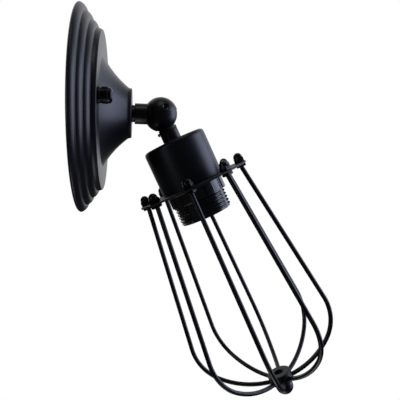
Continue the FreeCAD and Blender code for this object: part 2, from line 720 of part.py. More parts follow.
def make_friction_pieces():
    """The spring and the cupped seat that press on the rotor from the neck side."""
    spring_end = plug_end() - S.friction_spring_height
    outer = S.plug_radius - S.seat_clearance
    make_ring("friction_spring", S.seat_bore, outer, -plug_end(), -spring_end, on_wall_axis(ball_reach()))
    body = new_body("friction_seat")
    cavity, land = cavity_radius(), S.seat_land_radius
    rim = -side_of(cavity, land)
    turn(body, [(S.seat_bore, -spring_end), (outer, -spring_end), (outer, rim), (land, rim, cavity),
                (S.seat_bore, -side_of(cavity, S.seat_bore))])
    keep(body, on_wall_axis(ball_reach()))


def make_rotor():
    """The inner ball, bored for the stem and relieved towards the neck for the leads."""
    body = new_body("rotor_ball")
    radius, way = S.rotor_radius, S.lead_way_radius
    bore = S.spigot_radius + S.thread_clearance
    seat = rotor_bore_floor()
    turn(body, [(way, side_of(radius, way) * -1, -radius), (radius, as_dim(0), -radius),
                (bore, side_of(radius, bore)), (bore, seat), (way, seat)])
    relief = new_sketch(body)
    draw_box(relief, as_dim(0), -radius * 1.2, radius * 1.2, as_dim(0))
    pocket(body, relief, way * 2, both_ways=True)
    keep(body, on_head_axis())


def rotor_bore_floor():
    return S.rotor_radius / 4


def make_collar():
    """A dished washer that rides on the ball and covers the slot round the stem, with a tab bent over the stem."""
    body = new_body("stem_collar")
    inner, back, radius = S.shell_radius + S.collar_gap, S.stem_top - S.face_gap, S.collar_radius
    bore = S.spigot_radius + S.thread_clearance
    turn(body, [(bore, side_of(inner, bore), inner), (radius, side_of(inner, radius)), (radius, back),
                (bore, back)])
    tab = new_sketch(body)
    near = S.stem_radius + S.face_gap
    draw_path(tab, [(radius - S.tab_thickness, back - S.tab_height), (near + S.tab_thickness, back - S.tab_height),
                    (near + S.tab_thickness, back + S.tab_overhang), (near, back + S.tab_overhang), (near, back),
                    (radius - S.tab_thickness, back)])
    pad(body, tab, S.tab_width, both_ways=True)
    keep(body, on_head_axis())


# ---------------------------------------------------------------- stem and cup

def make_stem():
    """The hollow stem: a spigot up into the rotor, a barrel on the cup and a threaded tail into it."""
    body = new_body("stem")
    bore, chamfer = S.lead_way_radius, S.stem_chamfer
    turn(body, [(bore, rotor_bore_floor()), (S.spigot_radius, rotor_bore_floor()),
                (S.spigot_radius, S.stem_top), (S.stem_radius - chamfer, S.stem_top),
                (S.stem_radius, S.stem_top + chamfer), (S.stem_radius, S.cup_top),
                (S.nipple_radius, S.cup_top), (S.nipple_radius, S.stem_end), (bore, S.stem_end)])
    keep(body, on_head_axis())


def make_cup():
    """The spun cup that covers the lampholder, open towards the cage plate."""
    body = new_body("lamp_cup")
    wall, top, radius = S.cup_wall, S.cup_top, S.cup_radius
    rounding, inner = S.cup_rounding, S.cup_rounding - S.cup_wall
    hole, low = S.nipple_radius + S.thread_clearance, S.plate_top - S.face_gap
    turn(body, [(hole, top), (radius - rounding, top, -rounding), (radius, top + rounding), (radius, low),
                (radius - wall, low), (radius - wall, top + rounding, inner),
                (radius - rounding, top + wall), (hole, top + wall)])
    keep(body, on_head_axis())


def make_stem_fastening():
    bore, low = S.nipple_radius + S.thread_clearance, S.cup_top + S.cup_wall
    high = low + S.stem_washer_height
    make_ring("stem_washer", bore, S.stem_washer_radius, low, high, on_head_axis())
    nut = make_nut("stem_nut", S.stem_nut_flats, S.stem_nut_height, bore)
    keep(nut, on_head_axis(high))


# ---------------------------------------------------------------- lampholder

def holder_top():
    return S.cup_top + S.cup_wall + S.stem_washer_height + S.stem_nut_height + S.holder_gap


def holder_cap_end():
    return holder_top() + S.holder_cap_height


def make_holder_cap():
    """The upper half of the lampholder, screwed on the stem's tail."""
    body = new_body("lampholder_cap")
    top, end, wall = holder_top(), holder_cap_end(), S.holder_wall
    neck, radius, hole = S.holder_neck_radius, S.holder_cap_radius, S.nipple_radius + S.thread_clearance
    ledge, bend = top + S.holder_neck_height, top + S.holder_neck_height + S.holder_shoulder
    dome = arc_radius(bend - ledge, radius - neck, (radius - neck) / 5)
    turn(body, [(hole, top), (neck, top), (neck, ledge, -dome), (radius, bend), (radius, end),
                (radius - wall, end), (radius - wall, bend, dome), (neck - wall, ledge + wall / 2),
                (hole, ledge + wall / 2)])
    keep(body, on_head_axis())


def floor_station():
    """The underside of the holder body's floor, which the contact block bears on."""
    return S.plate_top - S.floor_drop + S.floor_thickness


def thread_end():
    return S.plate_top + S.thread_length + S.plate_thickness


def thread_profile():
    """The outside of the threaded sleeve below the flange, as ridges at the thread's pitch."""
    crest, base = S.thread_radius, S.thread_radius - S.thread_depth
    start = S.plate_top + S.thread_relief + S.plate_thickness
    turns = int((float(thread_end()) - float(start)) // float(S.thread_pitch))
    flank = (S.thread_pitch - S.thread_crest) / 2
    corners = [(base, S.plate_top), (base, start)]
    for turn_index in range(turns):
        low = start + S.thread_pitch * turn_index
        corners += [(crest, low + flank), (crest, low + flank + S.thread_crest), (base, low + S.thread_pitch)]
    return corners + [(base, thread_end())]


def make_holder_body():
    """The lower half: a waist in the cap, a flange on the cage plate and the outer thread."""
    body = new_body("lampholder_body")
    spigot = S.holder_cap_radius - S.holder_wall - S.thread_clearance
    cap_end, waist, flange = holder_cap_end(), S.holder_waist_radius, S.plate_top - S.holder_flange_height
    floor, hole, bore = floor_station(), S.floor_hole_radius, S.holder_bore
    top = cap_end - S.holder_joint
    turn(body, [(hole, top), (spigot, top), (spigot, cap_end), (waist, cap_end), (waist, flange),
                (S.holder_flange_radius, flange), (S.holder_flange_radius, S.plate_top)]
         + thread_profile() + [(bore, thread_end()), (bore, floor), (hole, floor)])
    channel = new_sketch(body, "XY_Plane", thread_end())
    floor_reach = S.thread_radius - S.thread_depth - S.channel_depth
    draw_box(channel, floor_reach, -(S.channel_width / 2), S.thread_radius * 1.1, S.channel_width / 2)
    cut = pocket(body, channel, S.thread_length)
    ring_pattern(body, cut, S.channel_count)
    keep(body, on_head_axis(turned=90 + SIZES["channel_turn_angle"]))


def shell_start():
    """The contact block's rim, level with the free end of the centre contact."""
    return floor_station() + S.block_disc_height + S.tongue_rise + S.tongue_thickness * 2


def make_contacts():
    floor = floor_station()
    face = floor + S.block_disc_height
    block = new_body("contact_block")
    rim, inner = shell_start(), S.block_disc_radius - S.block_rim_wall
    turn(block, [(as_dim(0), floor), (S.block_disc_radius, floor), (S.block_disc_radius, rim), (inner, rim),
                 (inner, face), (as_dim(0), face)])
    screws = new_sketch(block, "XY_Plane", floor)
    for side in (-1, 1):
        draw_circle(screws, as_dim(0), S.contact_screw_circle * side, S.contact_screw_radius + S.thread_clearance)
    pocket(block, screws, S.contact_screw_length, reversed_way=True)
    keep(block, on_head_axis())
    shell_end = thread_end() - S.shell_setback
    make_ring("screw_shell", S.shell_bore, S.shell_bore + S.shell_wall, rim, shell_end, on_head_axis())
    tongue = new_body("centre_contact")
    thick, half, rise = S.tongue_thickness, S.tongue_length / 2, S.tongue_rise
    draw_side = new_sketch(tongue)
    draw_path(draw_side, [(-half, face), (as_dim(0), face), (half, face + rise), (half, face + rise + thick),
                          (as_dim(0), face + thick), (-half, face + thick)])
    pad(tongue, draw_side, S.tongue_width, both_ways=True)
    keep(tongue, on_head_axis())
    screw = new_body("contact_screw_pattern")
    turn(screw, screw_outline(S.contact_head_radius, S.contact_head_height, S.contact_screw_radius,
                              S.contact_screw_length))
    cut_driver_slot(screw, S.contact_head_radius, S.contact_head_height, S.contact_head_height / 2)
    upside_down = FreeCAD.Placement(V(0, 0, 0), FreeCAD.Rotation(V(1, 0, 0), 180))
    places = [moved(on_head_axis(floor), 0, S.contact_screw_circle * side).multiply(upside_down)
              for side in (-1, 1)]
    keep_group("contact_screws", screw, places)


# ---------------------------------------------------------------- cage

def plate_bottom():
    return S.plate_top + S.plate_thickness


def wire_angles():
    count = SIZES["wire_count"]
    return [SIZES["first_wire_angle"] + 360 / count * k for k in range(count)]


def make_plate():
    """The flat ring that carries the wires, clamped between the holder's flange and the shade ring."""
    body = new_body("cage_plate")
    turn(body, ring_outline(S.thread_radius + S.plate_clearance, S.plate_radius, S.plate_top, plate_bottom()))
    hole = new_sketch(body, "XY_Plane", plate_bottom())
    draw_circle(hole, S.wire_circle, as_dim(0), S.wire_radius + S.thread_clearance)
    cut = pocket(body, hole, S.plate_thickness)
    ring_pattern(body, cut, S.wire_count)
    keep(body, on_head_axis(turned=SIZES["first_wire_angle"]))


def make_shade_ring():
    """The ring that screws up the holder's thread, with broad grip flutes."""
    body = new_body("shade_ring")
    low, bore = plate_bottom(), S.thread_radius + S.ring_clearance
    flange, end = low + S.ring_flange_height, low + S.ring_height
    turn(body, [(bore, low), (S.ring_flange_radius, low), (S.ring_flange_radius, flange),
                (S.ring_radius, flange), (S.ring_radius, end), (bore, end)])
    flute = new_sketch(body, "XY_Plane", end)
    half = S.ring_groove_width / 2
    edge = S.ring_radius - S.ring_groove_depth
    draw_box(flute, edge, -half, S.ring_radius * 1.1, half)
    cut = pocket(body, flute, S.ring_height - S.ring_flange_height)
    ring_pattern(body, cut, S.ring_groove_count)
    keep(body, on_head_axis())


def kink_station():
    """Where a wire starts to lean outwards, just under its lower nut."""
    return plate_bottom() + S.under_nut_height


def wire_path():
    """A wire's centre line as (radius, station) corners: threaded end, flare, belly, base and hub entry."""
    kink, belly = S.wire_kink_radius, S.belly_bend_radius
    flare, change, entry = S.wire_flare_angle, S.bend_change_angle, S.hub_entry_angle
    start = kink_station()
    flare_r = S.wire_circle + kink * (1 - cosine(flare))
    flare_s = start + kink * sine(flare)
    belly_r = flare_r + S.wire_run * sine(flare)
    belly_s = flare_s + S.wire_run * cosine(flare)
    change_r = belly_r - belly * (cosine(flare) - cosine(change))
    change_s = belly_s + belly * (sine(flare) + sine(change))
    inner = wire_end_radius()
    entry_r = inner + S.hub_entry_run * sine(entry)
    base = (change_r - entry_r) / (cosine(change) - cosine(entry))
    entry_s = change_s + base * (sine(entry) - sine(change))
    end_s = entry_s + S.hub_entry_run * cosine(entry)
    return [(S.wire_circle, wire_top()), (S.wire_circle, start, kink), (flare_r, flare_s),
            (belly_r, belly_s, -belly), (change_r, change_s, -base), (entry_r, entry_s), (inner, end_s)]


def wire_end_radius():
    return S.hub_radius - S.wire_seat_depth


def wire_top():
    """The tip of a wire's threaded end, inside its acorn nut."""
    return S.plate_top - S.acorn_height + S.acorn_wall * 2


def make_wires():
    for number, angle in enumerate(wire_angles(), start=1):
        body = new_body("cage_wire_%d" % number)
        route = draw_path(new_sketch(body), wire_path(), closed=False)
        section = new_sketch(body, "XY_Plane", wire_top())
        draw_circle(section, S.wire_circle, as_dim(0), S.wire_radius)
        pipe = body.newObject("PartDesign::AdditivePipe", body.Name + "_pipe")
        pipe.Profile = section
        pipe.Spine = (route, [""])
        keep(body, on_head_axis(turned=angle))


def wire_places(station):
    return [moved(on_head_axis(station, angle), S.wire_circle, 0) for angle in wire_angles()]


def make_wire_nuts():
    """A domed nut above the plate and a thin nut below it on each wire."""
    bore, flats = S.wire_radius + S.thread_clearance, S.wire_nut_flats
    acorn = new_body("acorn_nut_pattern")
    outline = new_sketch(acorn, "XY_Plane")
    draw_hexagon(outline, flats)
    pad(acorn, outline, S.acorn_hex_height)
    dome, seat = S.acorn_dome_radius, S.acorn_hex_height / 2
    shoulder = S.acorn_height - dome
    turn(acorn, [(as_dim(0), seat), (dome, seat), (dome, shoulder, -dome), (as_dim(0), S.acorn_height)])
    cut_cylinder(acorn, bore, S.acorn_height - S.acorn_wall, FreeCAD.Placement())
    upwards = FreeCAD.Placement(V(0, 0, 0), FreeCAD.Rotation(V(1, 0, 0), 180))
    keep_group("acorn_nuts", acorn, [place.multiply(upwards) for place in wire_places(S.plate_top)])
    under = make_nut("under_nut_pattern", flats, S.under_nut_height, bore)
    keep_group("under_nuts", under, wire_places(plate_bottom()))


def hub_top():
    """The hub is set so that the wires enter its side at the entry drop below its top."""
    return wire_path()[-1][1] - S.entry_drop


def make_hub():
    """The turned hub, bored for each wire's end and for the finial's stud."""
    body = new_body("cage_hub")
    top, low = hub_top(), hub_top() + S.hub_height
    radius, rounding, floor = S.hub_radius, S.hub_rounding, hub_top() + S.hub_bore_depth
    stud = S.finial_stud_radius + S.thread_clearance
    turn(body, [(S.hub_bore, top), (radius - rounding, top, -rounding), (radius, top + rounding),
                (radius, low - rounding, -rounding), (radius - rounding, low), (stud, low),
                (stud, floor), (S.hub_bore, floor)])
    end_r, end_s = wire_path()[-1]
    outward = FreeCAD.Rotation(V(0, 1, 0), 180 - float(S.hub_entry_angle))
    mouth = FreeCAD.Placement(V(float(end_r), 0, float(end_s)), outward)
    seat = cut_cylinder(body, S.wire_radius + S.thread_clearance, S.wire_seat_depth * 3, mouth)
    ring_pattern(body, seat, S.wire_count)
    keep(body, on_head_axis(turned=SIZES["first_wire_angle"]))


def make_finial():
    """A ball on a stud, screwed up into the hub."""
    body = new_body("finial")
    radius, stud = S.finial_radius, S.finial_stud_radius
    face = hub_top() + S.hub_height
    centre = face + S.finial_reach
    flat = side_of(radius, S.finial_reach)
    turn(body, [(as_dim(0), hub_top() + S.hub_bore_depth), (stud, hub_top() + S.hub_bore_depth), (stud, face),
                (flat, face, -radius), (radius, centre, -radius), (as_dim(0), centre + radius)])
    keep(body, on_head_axis())


# ---------------------------------------------------------------- the whole light

def make_everything():
    make_canopy()
    make_strap()
    make_studs()
    make_stud_nuts()
    make_cap_nuts()
    make_terminal_block()
    make_pole_screws()
    make_block_screw()
    make_earth_terminal()
    make_boss_stack()
    make_nipple_stack()
    make_neck()
    make_shell()
    make_grub_screw()
    make_friction_pieces()
    make_rotor()
    make_collar()
    make_stem()
    make_cup()
    make_stem_fastening()
    make_holder_cap()
    make_holder_body()
    make_contacts()
    make_plate()
    make_shade_ring()
    make_wires()
    make_wire_nuts()
    make_hub()
    make_finial()


def check_document():
    """Stop if any object failed, or if a piece isn't one or more sound solids."""
    for thing in DOC.Objects:
        if "Invalid" in thing.State or "Error" in thing.State:
            raise RuntimeError("%s failed to build" % thing.Name)
    unsound = [piece.Label for piece in PIECES if not is_sound(piece.Shape)]
    if unsound:
        raise RuntimeError("not sound solids: " + ", ".join(unsound))


def is_sound(shape):
    return not shape.isNull() and shape.isValid() and bool(shape.Solids)


def write_pieces():
    os.makedirs("parts", exist_ok=True)
    for piece in PIECES:
        piece.Shape.exportStep("parts/%s.step" % piece.Label)
        box = piece.Shape.BoundBox
        print("%-20s %d solid(s) %10.1f mm3  x %.1f..%.1f  y %.1f..%.1f  z %.1f..%.1f" % (
            piece.Label, len(piece.Shape.Solids), piece.Shape.Volume,
            box.XMin, box.XMax, box.YMin, box.YMax, box.ZMin, box.ZMax))


fill_sheet()
make_everything()
DOC.recompute()
check_document()
write_pieces()
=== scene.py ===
"""Looks of a cage wall light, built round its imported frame.

Lengths inside the classes are in millimetres, as on a drawing, and become metres when a mesh is made. Two frames
of the light are used: the wall axis, whose stations run out of the wall, and the head axis, whose stations run
from the swivel ball's centre to the finial.
"""

import logging
from collections.abc import Callable, Sequence
from dataclasses import dataclass, field
from enum import Enum
from math import acos, atan2, cos, hypot, pi, radians, sin, sqrt, tan

import bmesh
import bpy
import numpy as np
from mathutils import Matrix, Vector

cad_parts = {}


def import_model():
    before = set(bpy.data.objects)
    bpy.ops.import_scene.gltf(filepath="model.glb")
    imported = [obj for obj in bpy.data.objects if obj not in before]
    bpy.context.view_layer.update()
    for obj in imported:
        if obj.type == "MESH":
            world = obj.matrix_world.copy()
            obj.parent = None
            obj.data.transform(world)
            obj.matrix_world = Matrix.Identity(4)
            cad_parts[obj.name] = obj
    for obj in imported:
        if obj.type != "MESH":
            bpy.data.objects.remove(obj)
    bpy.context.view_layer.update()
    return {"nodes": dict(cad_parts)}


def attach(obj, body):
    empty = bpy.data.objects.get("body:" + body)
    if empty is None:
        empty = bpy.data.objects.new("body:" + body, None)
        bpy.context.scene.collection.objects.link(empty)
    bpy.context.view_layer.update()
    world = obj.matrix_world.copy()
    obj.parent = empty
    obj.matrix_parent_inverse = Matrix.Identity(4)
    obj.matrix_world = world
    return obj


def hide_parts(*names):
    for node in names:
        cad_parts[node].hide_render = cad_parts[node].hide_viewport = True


LOG = logging.getLogger("cage_wall_light")
Piece = bpy.types.Object
Socket = bpy.types.NodeSocket
Grid = np.ndarray
MM = 0.001
SHARP_ANGLE = radians(34)

# Points that are nearer than this become one, in metres.
MERGE_GAP = 1e-6

# Lengths that several sub-assemblies share, in millimetres.
BOSS_FACE = 36.4
NIPPLE_HOLE = 5.2
LEAD_WAY = 2.6
PLATE_TOP = 55.0
PLATE_LOW = 56.2


class Body(Enum):
    """The light's moving bodies."""

    WALL = "wall_mount"
    SWIVEL = "swivel"
    HEAD = "lamp_head"


class Slot(Enum):
    """The record's material slots, which the finishes name."""

    BLACK = "black_metal"
    MOULDING = "black_plastic"
    BRASS = "brass"


# -------------------- node trees


class Graph:
    """A node tree that is written in Python."""

    def __init__(self, tree: bpy.types.NodeTree) -> None:
        """Take a tree over and empty it.

        Args:
            tree: A shader or Geometry Nodes tree.
        """
        self.tree = tree
        tree.nodes.clear()

    def node(self, kind: str, inputs: dict | None = None, settings: dict | None = None) -> bpy.types.Node:
        """Add one node.

        Args:
            kind: The node's type.
            inputs: Values or links by socket name or number.
            settings: Properties, which are set before the inputs.

        Returns:
            The new node.
        """
        node = self.tree.nodes.new(kind)
        for name, value in (settings or {}).items():
            setattr(node, name, value)
        for key, value in (inputs or {}).items():
            self.feed(node.inputs[key], value)
        return node

    def feed(self, socket: Socket, value: object) -> None:
        """Link or set one input socket."""
        if isinstance(value, Value):
            value = value.socket
        if isinstance(value, Socket):
            self.tree.links.new(value, socket)
        else:
            socket.default_value = value

    def value(self, kind: str, inputs: dict | None = None, settings: dict | None = None,
              output: str | int = 0) -> "Value":
        """Add one node and wrap one of its outputs for arithmetic."""
        return Value(self, self.node(kind, inputs, settings).outputs[output])


def math_method(operation: str, swapped: bool = False) -> Callable[..., "Value"]:
    """A method of Value that adds one Math node, with its operands swapped for a number on the left."""

    def method(value: "Value", *others: object) -> "Value":
        return value.math(operation, *((*others, value) if swapped else (value, *others)))

    return method


class Value:
    """A number socket that takes part in Python expressions by adding Math nodes."""

    def __init__(self, graph: Graph, socket: Socket) -> None:
        """Wrap a socket of a graph."""
        self.graph = graph
        self.socket = socket

    def math(self, operation: str, *operands: object) -> "Value":
        """Add a Math node.

        Args:
            operation: The Math node's operation.
            operands: Its values, in order.

        Returns:
            The node's result.
        """
        return self.graph.value("ShaderNodeMath", dict(enumerate(operands)), {"operation": operation})

    __add__, __radd__ = math_method("ADD"), math_method("ADD", swapped=True)
    __sub__, __rsub__ = math_method("SUBTRACT"), math_method("SUBTRACT", swapped=True)
    __mul__, __truediv__ = math_method("MULTIPLY"), math_method("DIVIDE")
    sine, root, larger = math_method("SINE"), math_method("SQRT"), math_method("MAXIMUM")

    def between(self, low: float, high: float) -> "Value":
        """Rise smoothly from 0 to 1 over a range of the value."""
        return self.graph.value("ShaderNodeMapRange", {0: self, 1: low, 2: high},
                                {"interpolation_type": "SMOOTHSTEP"})


# -------------------- finishes


@dataclass(frozen=True)
class Finish:
    """A plain surface: two near colours, a roughness that wanders, a fine grain, and the record's slot that it
    names.
    """

    name: str
    colour: tuple[float, float, float]
    second: tuple[float, float, float]
    roughness: float
    wander: float = 0.05
    metallic: float = 0.0
    coat: float = 0.0
    grain_mm: float = 0.5
    grain_height_mm: float = 0.004
    mottle_mm: float = 14.0
    slot: Slot = Slot.BLACK

    def material(self) -> bpy.types.Material:
        """Build the material, or return it if it is there already."""
        made = bpy.data.materials.get(self.name)
        if made is not None:
            return made
        material = bpy.data.materials.new(self.name)
        material.use_nodes = True
        graph = Graph(material.node_tree)
        place = graph.node("ShaderNodeTexCoord").outputs["Object"]
        mottle = self.noise(graph, place, self.mottle_mm, 3.0)
        grain = self.noise(graph, place, self.grain_mm, 2.0)
        colour = graph.node("ShaderNodeMix", {
            0: mottle.between(0.35, 0.65), 6: (*self.colour, 1), 7: (*self.second, 1)}, {"data_type": "RGBA"})
        roughness = self.roughness + (mottle - 0.5) * self.wander + (grain - 0.5) * (self.wander / 2)
        bump = graph.node("ShaderNodeBump", {"Height": self.relief(graph, place, grain),
                                             "Distance": self.grain_height_mm * MM, "Strength": 1.0})
        shader = graph.node("ShaderNodeBsdfPrincipled", {
            "Base Color": colour.outputs[2], "Roughness": roughness, "Metallic": self.metallic,
            "Coat Weight": self.coat, "Coat Roughness": 0.12, "Normal": bump.outputs[0]})
        graph.node("ShaderNodeOutputMaterial", {"Surface": shader.outputs[0]})
        return material

    def noise(self, graph: Graph, place: Socket, size_mm: float, detail: float) -> Value:
        """Add a noise whose lumps have a real size."""
        return graph.value("ShaderNodeTexNoise",
                           {"Vector": place, "Scale": 1 / (size_mm * MM), "Detail": detail, "Roughness": 0.5})

    def relief(self, graph: Graph, place: Socket, grain: Value) -> Value:
        """Height of the surface's grain, from 0 to 1."""
        return grain


@dataclass(frozen=True)
class SpunPaint(Finish):
    """Paint over spun sheet metal: faint rings round the wall axis show through the orange peel."""

    ring_mm: float = 0.9
    ring_share: float = 0.35

    def relief(self, graph: Graph, place: Socket, grain: Value) -> Value:
        """Orange peel with faint turning rings under it."""
        parts = graph.node("ShaderNodeSeparateXYZ", {0: place})
        across, up = Value(graph, parts.outputs[1]), Value(graph, parts.outputs[2])
        radius = (across * across + up * up).root()
        waver = self.noise(graph, place, 30.0, 2.0)
        rings = (radius * (2 * pi / (self.ring_mm * MM)) + waver * 9.0).sine()
        return grain + rings * self.ring_share


@dataclass(frozen=True)
class PlatedSteel(Finish):
    """Rolled and plated steel: long fine marks along the sheet."""

    stretch: float = 14.0

    def relief(self, graph: Graph, place: Socket, grain: Value) -> Value:
        """Grain drawn out along the strap."""
        mapping = graph.node("ShaderNodeMapping", {"Vector": place, "Scale": (1.0, 1 / self.stretch, 1.0)})
        return self.noise(graph, mapping.outputs[0], self.grain_mm, 3.0)


# Pairs of near colours that two finishes share.
PAINT = ((0.0054, 0.0058, 0.0088), (0.0072, 0.0077, 0.0114))
DEEP_PAINT = ((0.0040, 0.0042, 0.0060), (0.0056, 0.0060, 0.0085))

SATIN_BLACK = Finish("satin_black_paint", *PAINT, 0.36, 0.06, grain_mm=0.7, grain_height_mm=0.010)
CANOPY_BLACK = SpunPaint("canopy_black_paint", *PAINT, 0.37, 0.06, grain_mm=0.7, grain_height_mm=0.008)
NUT_BLACK = Finish("black_nickel", (0.022, 0.022, 0.025), (0.036, 0.036, 0.040), 0.30, 0.06, metallic=1.0,
                   grain_height_mm=0.002, mottle_mm=3.0)
MATT_BLACK = Finish("matt_black_paint", *DEEP_PAINT, 0.58, 0.06, grain_mm=0.7, grain_height_mm=0.006)
WIRE_BLACK = Finish("wire_black_paint", *DEEP_PAINT, 0.34, grain_mm=1.4, grain_height_mm=0.003)
MOULDED_BLACK = Finish("glossy_black_moulding", (0.010, 0.010, 0.011), (0.014, 0.014, 0.015), 0.22,
                       coat=0.3, grain_mm=0.9, slot=Slot.MOULDING)
DARK_STEEL = Finish("blackened_steel", (0.045, 0.045, 0.048), (0.07, 0.068, 0.066), 0.34, 0.1, metallic=1.0,
                    grain_mm=0.3, grain_height_mm=0.006, mottle_mm=2.5)
ZINC = PlatedSteel("zinc_plate", (0.55, 0.56, 0.59), (0.66, 0.67, 0.66), 0.32, 0.14, metallic=1.0,
                   grain_mm=0.35, grain_height_mm=0.006, mottle_mm=9.0)
BRASS = Finish("plain_brass", (0.70, 0.52, 0.24), (0.78, 0.60, 0.31), 0.28, 0.12, metallic=1.0,
               grain_mm=0.4, mottle_mm=6.0, slot=Slot.BRASS)
WASHER_BLACK = Finish("dark_washer", (0.006, 0.006, 0.0065), (0.009, 0.009, 0.0095), 0.55, 0.06, grain_mm=0.4,
                      grain_height_mm=0.006, mottle_mm=3.0)
CERAMIC = Finish("glazed_ceramic", (0.80, 0.78, 0.73), (0.86, 0.84, 0.80), 0.18, coat=0.5,
                 grain_mm=1.6, grain_height_mm=0.008, mottle_mm=7.0)
NYLON = Finish("natural_nylon", (0.80, 0.78, 0.70), (0.84, 0.82, 0.75), 0.42, 0.06, grain_mm=0.8,
               grain_height_mm=0.006, mottle_mm=5.0)
WHITE_MOULDING = Finish("white_moulding", (0.78, 0.78, 0.76), (0.82, 0.82, 0.80), 0.38, 0.08,
                        grain_height_mm=0.008, mottle_mm=8.0)


# -------------------- outlines and meshes


@dataclass
class Outline:
    """A (radius, station) outline in millimetres, drawn corner by corner and closed at the end."""

    corners: list[tuple[float, float, float]] = field(default_factory=list)

    def to(self, radius: float, station: float, rounding: float = 0.0) -> "Outline":
        """Go straight to a corner and round it off."""
        self.corners.append((radius, station, rounding))
        return self

    def arc(self, radius: float, station: float, bulge: float, steps: int = 14) -> "Outline":
        """Go to a corner along an arc.

        Args:
            radius: The corner's radius.
            station: The corner's station.
            bulge: How far the arc stands out to the right of travel. It is negative to the left.
            steps: The number of pieces of the arc.

        Returns:
            The outline.
        """
        start, end = np.array(self.corners[-1][:2]), np.array((radius, station))
        chord = end - start
        length = float(np.hypot(*chord))
        right = np.array((chord[1], -chord[0])) / length
        circle = (length * length / 4 + bulge * bulge) / (2 * bulge)
        centre = (start + end) / 2 + right * (bulge - circle)
        first = atan2(*(start - centre)[::-1])
        turn = atan2(*(end - centre)[::-1]) - first
        turn = (turn + pi) % (2 * pi) - pi
        for step in range(1, steps + 1):
            angle = first + turn * step / steps
            reach = abs(circle)
            self.corners.append((centre[0] + reach * cos(angle), centre[1] + reach * sin(angle), 0.0))
        return self

    def points(self, steps: int = 5) -> Grid:
        """The outline with its corners rounded off, as an (n, 2) array."""
        dense: list[Grid] = []
        count = len(self.corners)
        for index, (radius, station, rounding) in enumerate(self.corners):
            here = np.array((radius, station))
            if rounding <= 0:
                dense.append(here)
                continue
            before = np.array(self.corners[index - 1][:2]) - here
            after = np.array(self.corners[(index + 1) % count][:2]) - here
            before, after = before / np.hypot(*before), after / np.hypot(*after)
            half = acos(max(-1.0, min(1.0, float(before @ after)))) / 2
            back = rounding / tan(half)
            start, end = here + before * back, here + after * back
            for step in range(steps + 1):
                share = step / steps
                dense.append(start * (1 - share) ** 2 + here * 2 * share * (1 - share) + end * share ** 2)
        return np.array(dense)


Shape = Callable[[Grid, Grid, Grid], Grid]


# The two axes that turned pieces stand on, in metres.
WALL_AXIS = Matrix.Rotation(radians(90), 4, "Y")
HEAD_AXIS = Matrix.Translation(Vector((0.0572, 0, 0))) @ Matrix.Rotation(radians(180 - 26.6), 4, "Y")


def new_object(name: str, data: bpy.types.ID) -> Piece:
    """Put a mesh, light or camera into the scene as an object at the origin."""
    piece = bpy.data.objects.new(name, data)
    bpy.context.scene.collection.objects.link(piece)
    return piece


def drawn(name: str, points: Sequence, edges: Sequence = (), faces: Sequence = ()) -> Piece:
    """Make an object from points in metres and the edges or faces between them."""
    mesh = bpy.data.meshes.new(name)
    mesh.from_pydata(points, edges, faces)
    return new_object(name, mesh)


def polar(radius: float, angle: float, station: float) -> tuple[float, float, float]:
    """A point in metres, from a radius and a station in millimetres and an angle."""
    return radius * MM * cos(angle), radius * MM * sin(angle), station * MM


def shade(mesh: bpy.types.Mesh) -> None:
    """Shade a mesh smooth, apart from its sharp edges."""
    mesh.polygons.foreach_set("use_smooth", [True] * len(mesh.polygons))
    mesh.set_sharp_from_angle(angle=SHARP_ANGLE)
    mesh.update()


def settle(mesh: bpy.types.Mesh, place: Matrix | None = None) -> None:
    """Move a closed mesh to its place, merge doubled points, turn its faces outwards and shade it."""
    if place is not None:
        mesh.transform(place)
    work = bmesh.new()
    work.from_mesh(mesh)
    bmesh.ops.remove_doubles(work, verts=work.verts, dist=MERGE_GAP)
    bmesh.ops.dissolve_degenerate(work, edges=work.edges, dist=MERGE_GAP / 10)
    bmesh.ops.recalc_face_normals(work, faces=work.faces)
    work.to_mesh(mesh)
    work.free()
    shade(mesh)


def turned(name: str, outline: Outline, place: Matrix, steps: int = 128, shape: Shape | None = None,
           steps_round: int = 5) -> Piece:
    """Turn an outline about its axis.

    Args:
        name: The object's name.
        outline: The outline, in millimetres.
        place: Where the axis stands, in metres.
        steps: The number of points round the axis.
        shape: Changes the radius from the radius, station and angle of every point, for threads and flats.
        steps_round: The number of pieces of each rounded corner.

    Returns:
        The turned object.
    """
    profile = outline.points(steps_round)
    angles = np.arange(steps) * (2 * pi / steps)
    radius = np.repeat(profile[:, :1], steps, axis=1)
    station = np.repeat(profile[:, 1:], steps, axis=1)
    if shape is not None:
        radius = shape(radius, station, np.broadcast_to(angles, radius.shape))
    verts = np.stack((radius * np.cos(angles), radius * np.sin(angles), station), axis=-1).reshape(-1, 3) * MM
    rows = len(profile)
    row, col = np.meshgrid(np.arange(rows), np.arange(steps), indexing="ij")
    below, beside = (row + 1) % rows, (col + 1) % steps
    quads = np.stack((row * steps + col, row * steps + beside, below * steps + beside, below * steps + col), -1)
    piece = drawn(name, verts.tolist(), faces=quads.reshape(-1, 4).tolist())
    settle(piece.data, place)
    return piece


def finished(piece: Piece, body: Body, finish: Finish, *nodes: str) -> None:
    """Dress a piece, let it ride, hide the frame's nodes that it replaces, and log its face count.

    Args:
        piece: The finished object.
        body: The body it moves with.
        finish: Its finish, which knows the record's slot.
        nodes: The frame's nodes that it replaces.
    """
    piece.data.materials.clear()
    piece.data.materials.append(finish.material())
    piece.data.polygons.foreach_set("material_index", [0] * len(piece.data.polygons))
    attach(piece, body.value)
    if nodes:
        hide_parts(*nodes)
    LOG.info("%s: %d faces on %s", piece.name, len(piece.data.polygons), body.value)


def smoothed_copy(name: str, node: Piece) -> Piece:
    """A copy of a frame node with its points merged and its curved faces shaded smooth."""
    mesh = node.data.copy()
    mesh.name = name
    settle(mesh)
    return new_object(name, mesh)


# -------------------- geometry nodes


